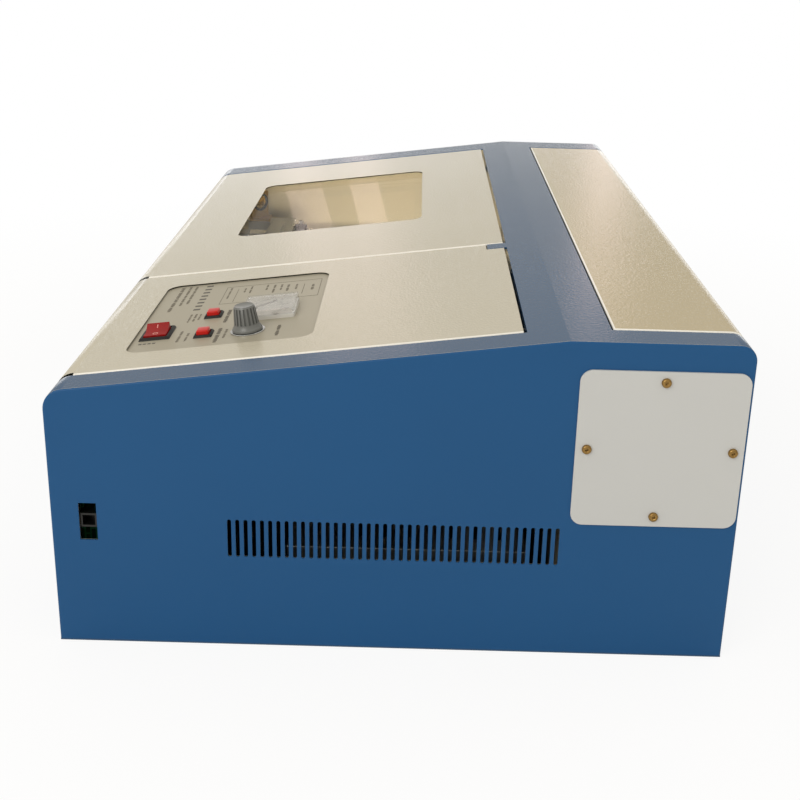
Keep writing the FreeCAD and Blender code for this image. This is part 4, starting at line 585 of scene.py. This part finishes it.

# ---------------------------------------------------------------- lids and rear cover
# The lids and the cover are folded steel with a cream powder coat, the glossiest on the machine.
# Its orange peel is drawn deeper than it is, so that it scatters light into a speckled sheen.
# The folds carry painted highlights; the slits and the openings' cut edges carry painted shade.

joints = {joint["name"]: joint for joint in frame["record"]["behaviour"]["joints"]}
panel_normal = -Vector(joints["laser_button_press"]["axis"])
lid_slope = -panel_normal.y / panel_normal.z
lid_height = max(
    vert.co.z - lid_slope * vert.co.y for vert in frame["nodes"]["left_lid"].data.vertices)
lid_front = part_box("right_lid")[0][1]
slit_length = 0.0146
slit_width = 0.007
fold_width = 0.0015
edge_depths = 0.0002, 0.0014  # the cut edge of an opening, below the lids' upper face
plate_margin = 0.004          # how far inside the plate below an opening its mask ends
# Painted highlight: the folds are drawn lighter, where their radius catches the light.
painted_fold_highlight = "#f3efe6"
# Painted shade: the slits and the openings' cut edges are drawn near black, where shade falls.
painted_edge_shade = "#161713"


def within(tree, source, low, high):
    """One where a value lies between two limits, and nought elsewhere."""
    return add_node(
        tree, "ShaderNodeMath", {"operation": "COMPARE", 1: (low + high) / 2, 2: (high - low) / 2},
        {0: source}).outputs[0]


def combine(tree, operation, values):
    """Folds several values into one with a maths operation."""
    total = values[0]
    for value in values[1:]:
        total = add_node(
            tree, "ShaderNodeMath", {"operation": operation}, {0: total, 1: value}).outputs[0]
    return total


def paint_light_and_shade(material, *patches):
    """Lays painted highlights and painted shade over a coat, each where its mask is one."""
    tree = material.node_tree
    socket = tree.nodes["Principled BSDF"].inputs["Base Color"]
    coat = socket.links[0].from_socket
    for mask, colour in patches:
        coat = add_node(
            tree, "ShaderNodeMix", {"data_type": "RGBA", 7: linear(colour)},
            {0: mask, 6: coat}).outputs[2]
    tree.links.new(coat, socket)


def split_place(tree):
    """A point's x, y and z on the piece, as three sockets."""
    place = add_node(tree, "ShaderNodeTexCoord").outputs["Object"]
    return add_node(tree, "ShaderNodeSeparateXYZ", {}, {0: place}).outputs


def near_lines(tree, lines, reach):
    """One within reach of any of several lines, each a coordinate and where it lies on it."""
    return combine(tree, "MAXIMUM", [
        within(tree, source, line - reach, line + reach) for source, line in lines])


def lid_coat(name, node, plate_below):
    """A lid's cream coat: painted highlights on the folds, painted shade on slits and cut edges.
    """
    material = powder_coat(name, "#c4bdab", "#bfb8a4", 0.14, 2.2, 0.3)
    tree = material.node_tree
    x, y, z = split_place(tree)
    sides = [(x, corner[0]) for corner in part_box(node)]
    slit_shade = combine(tree, "MULTIPLY", [
        near_lines(tree, sides, slit_width / 2),
        within(tree, y, lid_front - 0.001, lid_front + slit_length)])
    face = add_node(
        tree, "ShaderNodeMath", {"operation": "MULTIPLY_ADD", 1: lid_slope, 2: lid_height}, {0: y})
    depth = add_node(
        tree, "ShaderNodeMath", {"operation": "SUBTRACT"}, {0: face.outputs[0], 1: z})
    low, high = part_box(plate_below)
    opening_shade = combine(tree, "MULTIPLY", [
        within(tree, x, low[0] + plate_margin, high[0] - plate_margin),
        within(tree, y, low[1] + plate_margin, high[1] - plate_margin),
        within(tree, depth.outputs[0], *edge_depths)])
    paint_light_and_shade(
        material, (near_lines(tree, sides, fold_width), painted_fold_highlight),
        (combine(tree, "MAXIMUM", [slit_shade, opening_shade]), painted_edge_shade))
    return material


finish(lid_coat("cream_left_lid", "left_lid", "window_pane"), "left_lid")
finish(lid_coat("cream_right_lid", "right_lid", "control_fascia"), "right_lid")
# The cover's cream is darker and yellower than the lids': a painted tint of the warm light it
# reflects.
cover_coat = powder_coat("cream_cover_coat", "#b9aa87", "#b3a480", 0.14, 2.2, 0.3)
cover_x, cover_y = split_place(cover_coat.node_tree)[:2]
cover_ends = [(cover_x, corner[0]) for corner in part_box("rear_cover")]
cover_front = (cover_y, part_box("rear_cover")[0][1])
# Painted highlight along the cover's end and front folds.
cover_fold_highlights = near_lines(cover_coat.node_tree, [*cover_ends, cover_front], fold_width)
paint_light_and_shade(cover_coat, (cover_fold_highlights, painted_fold_highlight))
finish(cover_coat, "rear_cover")
ease_edges(0.5, "left_lid", "right_lid", "rear_cover")


def acrylic_sheet():
    """Cast acrylic, its cream tint a painted reflection of a warm room, with patches of haze."""
    material, tree, shader, place = start_material("cream_tinted_acrylic", "#e6dfcf", 0.03)
    shader.inputs["Transmission Weight"].default_value = 1.0
    shader.inputs["IOR"].default_value = 1.49
    shader.inputs["Alpha"].default_value = 0.12
    haze = add_node(tree, "ShaderNodeTexNoise", {"Scale": 60.0, "Detail": 4.0}, {"Vector": place})
    vary_gloss(tree, shader, haze.outputs["Fac"], 0.0, 0.08)
    return material


finish(acrylic_sheet(), "window_pane")

# ---------------------------------------------------------------- control panel
# A printed aluminium plate is bonded under the cut-out in the right lid, on the lids' slope. Its
# pieces are modelled flat, as on a bench, and then tipped up to that slope.

tilt = math.atan2(-panel_normal.y, panel_normal.z)
tip_back = Matrix.Rotation(-tilt, 4, "X")
tip_up = Matrix.Rotation(tilt, 4, "X")


def flat_box(node):
    """A CAD node's lowest and highest corner with the panel tipped back to level."""
    axes = list(zip(*(tip_back @ vert.co for vert in frame["nodes"][node].data.vertices)))
    return [Vector([pick(axis) for axis in axes]) for pick in (min, max)]


fascia_low, fascia_high = flat_box("control_fascia")
panel_top = fascia_high.z


def printed_plate():
    """Anodised plate screen-printed in warm grey: satin, with a faint brushed line."""
    material, tree, shader, place = start_material("printed_fascia", "#aaa492", 0.4, 0.15)
    tree.links.new(drift(tree, place, "#aaa492", "#a39b88", 12), shader.inputs["Base Color"])
    draw_lines(tree, shader, place, (15, 1200, 15), 0.3, 0.02)
    return material


def ink(name, colour):
    """Screen-printing ink or enamel: flat and dull, with a fine grain."""
    return moulded_plastic(name, colour, colour, 0.6, 0.3, 0.004)


finish(printed_plate(), "control_fascia")
dark_ink = ink("charcoal_ink", "#55524c")


def set_on_panel(piece, body, material_slot, *nodes):
    """Tips a flat-built piece up to the lids' slope and hands it to its body."""
    turn_piece(piece, tip_up)
    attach(piece, body)
    if nodes:
        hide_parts(*nodes)


# The printing: a heading, a framed block of small print, and a line beside each control. It is
# drawn as rows of plain strokes of the print's height and spacing, which spell nothing.

text_ink = ink("grey_ink", "#706a5d")
fine_ink = ink("brown_grey_ink", "#5f594e")
print_left = fascia_low.x + 0.008
print_front = fascia_low.y + 0.008
stroke_pitch = 1.8  # mm
word_gap = 1.4


def print_bar(x, y, width, length, material):
    """One printed bar, its middle and size in mm off the opening's left front corner."""
    middle = Vector((print_left + x / 1000, print_front + y / 1000, panel_top))
    half = Vector((width / 2000, length / 2000, 0))
    bar = open_block(
        "print", middle - half - Vector((0, 0, 0.00005)), middle + half + Vector((0, 0, 0.00012)))
    round_edges(0.00005, 1)
    close_piece(bar, material)
    return bar


def print_words(x, y, height, words, material):
    """A line of print as strokes, each word a length in mm, from (x, y) as above."""
    strokes = []
    for length in words:
        count = round(length / stroke_pitch)
        pitch = length / count
        for place in range(count):
            tall = 0.72 if (place * 3 + length) % 5 < 3 else 1.0
            strokes.append(
                print_bar(x + (place + 0.35) * pitch, y, 0.68 * pitch, tall * height, material))
        x += length + word_gap
    return strokes


prints = []
for x, y, height, words in (
    (4, 13.3, 3.4, (13, 18, 9, 12, 12)),
    (3, 19.9, 2.6, (9, 14, 7, 11, 9)),
    (4, 25.5, 2.6, (12, 8, 15, 12)),
    (87, 35.8, 2.0, (6, 9, 3)),
    (87, 39.9, 2.2, (11, 7)),
    (88, 43.7, 1.8, (5, 9)),
    (130, 36.3, 2.4, (10, 15)),
    (136, 42.4, 2.0, (8, 10)),
    (135, 72.6, 2.2, (9, 11)),
    (19, 58.9, 1.8, (8, 11, 10)),
    (24, 71.8, 1.8, (5, 6)),
    (20, 76.9, 1.8, (9, 10)),
    (20, 90.8, 2.0, (7, 7)),
    (22, 97.4, 2.2, (10, 12)),
    (23, 103.6, 2.0, (9, 6)),
    (25, 109.5, 2.4, (8, 10)),
    (26, 116.9, 2.0, (6, 8)),
    (31, 131.5, 2.6, (7, 8)),
):
    prints += print_words(x, y, height, words, text_ink)
for place in range(8):
    prints.append(print_bar(6.7 + 9.6 * place, 37.3, 3.4, 5.8, dark_ink))
for x, y, height, words in (
    (84, 67.5, 3.4, (14, 18)),
    (131, 67.1, 3.4, (15, 18)),
    (137, 114.5, 3.2, (12, 12)),
):
    prints += print_words(x, y, height, words, fine_ink)
for frame_line in (
    (16.2, 96.15, 0.45, 83.3), (64.8, 96.15, 0.45, 83.3), (40.5, 54.5, 49, 0.45),
    (40.5, 137.8, 49, 0.45), (43, 65.5, 38, 0.45), (41.5, 123.5, 29, 0.45),
):
    prints.append(print_bar(*frame_line, text_ink))
for y in (7.3, 10.9, 14.5, 18.1):
    prints.append(print_bar(153, y, 2.2, 2.5, dark_ink))
set_on_panel(join_pieces("panel_print", prints), "right_lid", "bare_aluminium")

# Power switch: a snap-in bezel of black nylon round a clear red rocker marked I and O. The
# rocker is built level on its pin, then tipped by half its travel and moved into the bezel.

bezel_black = moulded_plastic("black_nylon", "#131312", "#1a1a19", 0.5, gleam=0.25)
rim = 0.0005
well_depth = 0.008


def make_bezel(name, node, middle, outer, well, skirt=0.0022):
    """A black bezel with sloping sides round an open well, and its body below the plate."""
    low, high = flat_box(node)
    centre = Vector((*middle, 0))
    half = Vector((outer[0] / 2, outer[1] / 2, 0))
    bezel = open_block(
        name, centre - half + Vector((0, 0, panel_top)), centre + half + Vector((0, 0, high.z)))
    pick_faces(bezel, lambda middle, normal: normal.z > 0.9)
    scale_picked((1 - skirt / outer[0], 1 - skirt / outer[1], 1), centre)
    bpy.ops.mesh.inset(thickness=rim)
    scale_picked(
        (well[0] / (outer[0] - skirt - 2 * rim), well[1] / (outer[1] - skirt - 2 * rim), 1),
        centre)
    extrude_up(-well_depth)
    pick_faces(bezel, lambda middle, normal: normal.z < -0.9)
    bpy.ops.mesh.inset(thickness=0.0012)
    extrude_up(low.z - panel_top)
    pick_edges(
        bezel, lambda middle, way: middle.z > high.z - 0.0001
        or (0.4 < abs(way.z) < 0.99 and middle.z > panel_top))
    round_edges(0.0005, 3)
    close_piece(bezel, bezel_black)
    return bezel


def middle_of(low, high):
    """The middle of a box, seen from above."""
    return (low.x + high.x) / 2, (low.y + high.y) / 2


housing_low, housing_high = flat_box("rocker_housing")
rocker_low, rocker_high = flat_box("rocker")
rocker_bezel = make_bezel(
    "rocker_bezel", "rocker_housing", middle_of(housing_low, housing_high),
    (housing_high.x - housing_low.x, housing_high.y - housing_low.y), (0.024, 0.0185))
set_on_panel(rocker_bezel, "right_lid", "black_plastic", "rocker_housing")


def clear_red():
    """Red polycarbonate: glossy, and deep because light goes some way in before it comes back."""
    material, tree, shader, place = start_material("red_polycarbonate", "#930d0a", 0.24)
    shader.inputs["Specular IOR Level"].default_value = 0.18
    shader.inputs["Subsurface Weight"].default_value = 0.15
    shader.inputs["Subsurface Radius"].default_value = (0.004, 0.0004, 0.0004)
    tree.links.new(drift(tree, place, "#990d09", "#870a0a", 90), shader.inputs["Base Color"])
    roughen(tree, shader, place, 4, 0.02)
    return material


mark_white = ink("white_ink", "#dc9a90")
rocker_joint = joints["power_rocker_pivot"]
rocker_tilt = math.radians(rocker_joint["range_deg"][1] / 2)
rocker_pin = tip_back @ Vector(rocker_joint["pos_m"])
rocker_reach = 0.0097  # from the pin to the end of each half
rocker_half = (rocker_high.y - rocker_low.y) / 2
shoulder = 0.0063      # height above the pin at the ends
crease = 0.00405       # and in the middle
rocker = open_block(
    "power_rocker", (-rocker_reach, -rocker_half, -0.0018), (rocker_reach, rocker_half, crease))
bpy.ops.mesh.select_all(action="SELECT")
bpy.ops.mesh.bisect(plane_co=(0, 0, 0), plane_no=(1, 0, 0))
pick_faces(rocker, lambda centre, normal: normal.z < -0.9)
scale_picked((1.062, 1, 1))
pick_edges(
    rocker, lambda centre, way: abs(centre.x) > rocker_reach - 0.0001
    and centre.z > crease - 0.0001)
bpy.ops.transform.translate(value=(0, 0, shoulder - crease))
pick_edges(rocker, lambda centre, way: centre.z > 0 and abs(centre.x) > 0.001)
round_edges(0.0006, 3)
close_piece(rocker, clear_red())

mark_share = 0.55  # how far out along each half of the rocker its mark lies
face_slope = math.atan2(shoulder - crease, rocker_reach)
stroke = open_block("on_mark", (-0.0019, -0.00035, -0.0002), (0.0019, 0.00035, 0.0001))
round_edges(0.00008, 2)
close_piece(stroke, mark_white)
ring = open_alone(
    bpy.ops.mesh.primitive_torus_add, "off_mark", major_radius=0.0018, minor_radius=0.00034,
    major_segments=40, minor_segments=10)
bpy.ops.mesh.select_all(action="SELECT")
scale_picked((1, 1, 0.45))
close_piece(ring, mark_white)
for mark, way in ((stroke, -1), (ring, 1)):
    turn_piece(
        mark, Matrix.Rotation(-way * face_slope, 4, "Y"),
        (way * rocker_reach * mark_share, 0, crease + (shoulder - crease) * mark_share))
rocker = join_pieces("power_rocker", [rocker, stroke, ring])
turn_piece(rocker, Matrix.Rotation(rocker_tilt, 4, "Y"), rocker_pin)
set_on_panel(rocker, "power_rocker", "red_plastic", "rocker")

# Two push buttons: a red cap that rises out of a small black bezel. One fires the laser, the
# other tests it, and both spring back.

cap_red = moulded_plastic("red_abs", "#cb1a10", "#c0170e", 0.3, 0.8, 0.006, gleam=0.3)
pair_low, pair_high = flat_box("switch_housings")
bezel_side = 0.016
for node, bezel_x in (
    ("laser_button", pair_low.x + bezel_side / 2), ("test_button", pair_high.x - bezel_side / 2),
):
    low, high = flat_box(node)
    x, y = middle_of(low, high)
    bezel = make_bezel(
        node + "_bezel", "switch_housings", (bezel_x, y), (bezel_side, pair_high.y - pair_low.y),
        (high.x - low.x + 0.0006, high.y - low.y + 0.0006), 0.0018)
    replaced = ["switch_housings"] if node == "laser_button" else []
    set_on_panel(bezel, "right_lid", "black_plastic", *replaced)
    cap = open_block(node + "_cap", low, high)
    pick_faces(cap, lambda centre, normal: normal.z > 0.9)
    scale_picked((0.94, 0.92, 1), (x, y, 0))
    pick_edges(cap, lambda centre, way: centre.z > low.z + 0.001)
    round_edges(0.0009, 4)
    close_piece(cap, cap_red)
    set_on_panel(cap, node, "red_plastic", node)

# Current knob: moulded grey ABS on the spindle of a potentiometer, fluted for the fingers, over
# a polished dial ring on the plate.

knob_grey = moulded_plastic("grey_abs", "#737471", "#696a68", 0.3, 0.9, 0.012)
ring_low, ring_high = flat_box("dial_ring")
knob_low, knob_high = flat_box("knob")
knob_x, knob_y = middle_of(ring_low, ring_high)
knob_foot = ring_high.z + 0.0003
skirt_radius = (knob_high.x - knob_low.x) / 2
flutes = 18


def draw_in(share):
    """Scales what is selected towards the knob's axis."""
    scale_picked((share, share, 1), (knob_x, knob_y, 0))


def in_flute(centre):
    """Whether a side face lies in the hollow half of its flute."""
    angle = math.atan2(centre.y - knob_y, centre.x - knob_x)
    return angle % (2 * math.pi / flutes) < math.pi / flutes


knob = open_rod(
    "current_knob", (knob_x, knob_y, knob_foot), skirt_radius, 0.0015, 4 * flutes)
pick_faces(knob, lambda centre, normal: normal.z > 0.9)
grip_foot = knob_foot + 0.0046
grip_top = knob_high.z - 0.0014
for rise, share in (
    (0.0009, 0.93), (0.0022, 0.9), (0.0008, 0.98), (grip_top - grip_foot - 0.0008, 0.86),
    (knob_high.z - grip_top, 0.88),
):
    extrude_up(rise)
    draw_in(share)
bpy.ops.mesh.inset(thickness=0.0008)
bpy.ops.transform.translate(value=(0, 0, -0.0003))
pick_faces(
    knob, lambda centre, normal: grip_foot + 0.0009 < centre.z < grip_top and in_flute(centre)
    and abs(normal.z) < 0.5)
bpy.ops.mesh.inset(thickness=0.00015)
draw_in(0.88)
pick_edges(
    knob, lambda centre, way: knob_foot + 0.001 < centre.z < knob_foot + 0.004
    and abs(way.z) < 0.1)
round_edges(0.0004, 2)
close_piece(knob, knob_grey, 30)
pointer = open_block(
    "pointer", (knob_x - 0.0009, knob_y + 0.0098, knob_foot + 0.0004),
    (knob_x + 0.0009, knob_high.y, knob_foot + 0.0036))
pick_edges(
    pointer, lambda centre, way: centre.y > knob_high.y - 0.0003
    and centre.z > knob_foot + 0.003)
bpy.ops.transform.translate(value=(0, 0, -0.0014))
pick_edges(pointer, lambda centre, way: centre.z > knob_foot + 0.001)
round_edges(0.0003, 2)
close_piece(pointer, knob_grey)
spindle = open_rod(
    "spindle", (knob_x, knob_y, knob_low.z), 0.0029, knob_foot - knob_low.z + 0.001)
pick_edges(spindle, lambda centre, way: abs(way.z) < 0.1)
round_edges(0.0003, 2)
close_piece(spindle, nickel)
knob = join_pieces("current_knob", [knob, pointer, spindle])
set_on_panel(knob, "current_knob", "grey_plastic", "knob")
polished_aluminium = turned_metal("polished_aluminium", "#d6d7d8", "#c6c8c9", 0.14, 0.6, "Z")
finish(polished_aluminium, "dial_ring")
finish(galvanised, "potentiometer")
ease_edges(0.3, "dial_ring", "potentiometer")

# Current meter: a white card with a printed quarter scale, a black needle and a clear styrene
# cover snapped over both. Its round movement hangs behind the plate.

card_white = moulded_plastic("white_card", "#bdb7ab", "#c3bdb1", 0.6, 0.5, 0.004)
cover_low, cover_high = flat_box("meter_cover")
meter_x, meter_y = middle_of(cover_low, cover_high)
meter_side = cover_high.x - cover_low.x
card_half = meter_side / 2 - 0.0016
card_top = cover_low.z + 0.0003
pivot_y = meter_y - 0.3 * meter_side
arc_radius = 0.0213
figure_radius = 0.0266
first_angle = -45
card = open_block(
    "meter_card", (meter_x - card_half, meter_y - card_half, cover_low.z),
    (meter_x + card_half, meter_y + card_half, card_top))
pick_edges(card, lambda centre, way: abs(way.z) > 0.9)
round_edges(0.001, 4)
close_piece(card, card_white)
scale_pieces = [card]


def scale_mark(angle, inner, outer, width):
    """A stroke on the card along a radius from the needle's pivot."""
    mark = open_block(
        "mark", (-width / 2, inner, card_top - 0.00005), (width / 2, outer, card_top + 0.00008))
    round_edges(0.00004, 1)
    close_piece(mark, text_ink)
    turn_piece(mark, Matrix.Rotation(math.radians(-angle), 4, "Z"), (meter_x, pivot_y, 0))
    return mark


for step in range(31):
    angle = first_angle + 3 * step
    outer, width = (0.0242, 0.0004) if step % 5 == 0 else (0.0229, 0.00022)
    scale_pieces.append(scale_mark(angle, arc_radius + 0.0002, outer, width))
    scale_pieces.append(scale_mark(angle, arc_radius, arc_radius + 0.00025, 0.0012))
for number in range(4):
    bpy.ops.object.select_all(action="DESELECT")
    bpy.ops.object.text_add()
    text = bpy.context.object.data
    text.body = str(10 * number)
    text.size = 0.0042
    text.align_x = "CENTER"
    text.align_y = "CENTER"
    text.extrude = 0.00006
    bpy.ops.object.convert(target="MESH")
    figure = bpy.context.object
    figure.data.materials.clear()
    figure.data.materials.append(text_ink)
    turn = Matrix.Rotation(math.radians(-first_angle - 30 * number), 4, "Z")
    outwards = turn @ Vector((0, figure_radius, 0))
    turn_piece(figure, turn, Vector((meter_x, pivot_y, card_top + 0.00004)) + outwards)
    scale_pieces.append(figure)
set_on_panel(join_pieces("meter_card", scale_pieces), "right_lid", "bare_aluminium")


def clear_styrene():
    """Crystal polystyrene: clear, glossy and faintly cool."""
    material, tree, shader, place = start_material("clear_styrene", "#f4f6fb", 0.03)
    shader.inputs["Transmission Weight"].default_value = 1.0
    shader.inputs["IOR"].default_value = 1.59
    shader.inputs["Alpha"].default_value = 0.4
    roughen(tree, shader, place, 6, 0.01, 0.4)
    return material


finish(clear_styrene(), "meter_cover")
finish(moulded_plastic("white_abs", "#dad8d2", "#d0cec8", 0.4), "meter_body")
finish(ink("needle_enamel", "#3f3d3b"), "meter_needle")
ease_edges(0.4, "meter_cover", "meter_body")

# ---------------------------------------------------------------- studio and camera
# A white floor, a white dome and a broad key light behind the camera light the machine softly. A
# low strip of light beyond its left end draws the bright lines along the folds, and three tall
# pinkish softboxes above it lay bands of speckled sheen on the lids and the cover. A small lamp
# lights the work bay from within.


def make_dome():
    """White to the camera and in glass; on the rest a soft fill that dims towards the horizon."""
    world = bpy.data.worlds.new("studio")
    bpy.context.scene.world = world
    world.use_nodes = True
    tree = world.node_tree
    tree.nodes.clear()
    rays = add_node(tree, "ShaderNodeLightPath")
    seen = add_node(
        tree, "ShaderNodeMath", {"operation": "MAXIMUM"},
        {0: rays.outputs["Is Camera Ray"], 1: rays.outputs["Is Transmission Ray"]})
    way = add_node(tree, "ShaderNodeTexCoord").outputs["Generated"]
    parts = add_node(tree, "ShaderNodeSeparateXYZ", {}, {0: way})
    height = add_node(
        tree, "ShaderNodeMapRange",
        {"From Min": 0.05, "From Max": 0.75, "To Min": 0.55, "To Max": 0.95},
        {"Value": parts.outputs["Z"]})
    fill = add_node(
        tree, "ShaderNodeBackground", {"Color": linear("#f7f3ea")},
        {"Strength": height.outputs[0]})
    white = add_node(tree, "ShaderNodeBackground", {"Color": linear("#ffffff"), "Strength": 1.0})
    mixed = add_node(
        tree, "ShaderNodeMixShader", {},
        {0: seen.outputs[0], 1: fill.outputs[0], 2: white.outputs[0]})
    add_node(tree, "ShaderNodeOutputWorld", {}, {"Surface": mixed.outputs[0]})


def make_floor():
    """A pale floor that keeps a faint shadow round the machine's foot and fades to white."""
    bpy.ops.object.select_all(action="DESELECT")
    bpy.ops.mesh.primitive_plane_add(size=14, location=(0, 0, cad_box[0][2] - 0.0002))
    floor = bpy.context.object
    floor.name = "floor"
    material = bpy.data.materials.new("white_floor")
    material.use_nodes = True
    tree = material.node_tree
    tree.nodes.clear()
    place = add_node(tree, "ShaderNodeTexCoord").outputs["Object"]
    reach = add_node(tree, "ShaderNodeVectorMath", {"operation": "LENGTH"}, {0: place})
    fade = add_node(
        tree, "ShaderNodeMapRange",
        {"From Min": 0.5, "From Max": 1.2, "To Min": 0.88, "To Max": 1.0},
        {"Value": reach.outputs["Value"]})
    rays = add_node(tree, "ShaderNodeLightPath")
    paint = add_node(tree, "ShaderNodeBsdfDiffuse", {"Color": linear("#f4f3f1")})
    glow = add_node(
        tree, "ShaderNodeEmission", {"Color": linear("#ffffff")},
        {"Strength": rays.outputs["Is Camera Ray"]})
    shown = add_node(
        tree, "ShaderNodeMixShader", {},
        {0: fade.outputs[0], 1: paint.outputs[0], 2: glow.outputs[0]})
    floor_ray = add_node(
        tree, "ShaderNodeMixShader", {},
        {0: rays.outputs["Is Camera Ray"], 1: paint.outputs[0], 2: shown.outputs[0]})
    add_node(tree, "ShaderNodeOutputMaterial", {}, {"Surface": floor_ray.outputs[0]})
    floor.data.materials.append(material)


def softbox(name, place, aim, width, depth, power, colour):
    """A rectangular lamp at place that points at aim."""
    lamp_data = bpy.data.lights.new(name, "AREA")
    lamp_data.shape = "RECTANGLE"
    lamp_data.size = width
    lamp_data.size_y = depth
    lamp_data.energy = power
    lamp_data.color = linear(colour)[:3]
    lamp = bpy.data.objects.new(name, lamp_data)
    lamp.location = place
    lamp.rotation_euler = (Vector(aim) - Vector(place)).to_track_quat("-Z", "Y").to_euler()
    lamp.visible_camera = False
    bpy.context.collection.objects.link(lamp)
    return lamp


make_dome()
make_floor()
softbox("key", (2.4, -1.5, 2.0), (0, 0, 0.1), 1.8, 1.4, 33, "#fffcf8")
softbox("strip", (-3.0, -0.1, 0.3), (0, -0.1, 0.3), 4.4, 0.5, 9, "#fbfcff")
for y, width, power in ((-0.54, 0.13, 0.32), (-0.33, 0.1, 0.26), (0.66, 0.12, 0.36)):
    softbox("window", (-3.0, y, 0.95), (0, 0, 0.25), width, 0.8, power, "#ffe4de")
inside = softbox(
    "inside", (0.04, -0.06, 0.14), (-0.39, -0.06, 0.14), 0.3, 0.08, 0.8, "#fff0d4")
inside.data.spread = math.radians(100)
inside.visible_glossy = False
inside.visible_transmission = False

camera_data = bpy.data.cameras.new("camera")
camera_data.lens = 53.96
camera_data.sensor_width = 36
camera_data.shift_x = -0.0225
camera_data.shift_y = -0.0766
camera_data.clip_start = 0.01
camera = bpy.data.objects.new("camera", camera_data)
camera.location = (1.1813, 0.0124, 0.5207)
camera.rotation_euler = [math.radians(angle) for angle in (70.82, -1.53, 90.41)]
bpy.context.collection.objects.link(camera)
bpy.context.scene.camera = camera
bpy.context.scene.view_settings.view_transform = "Standard"
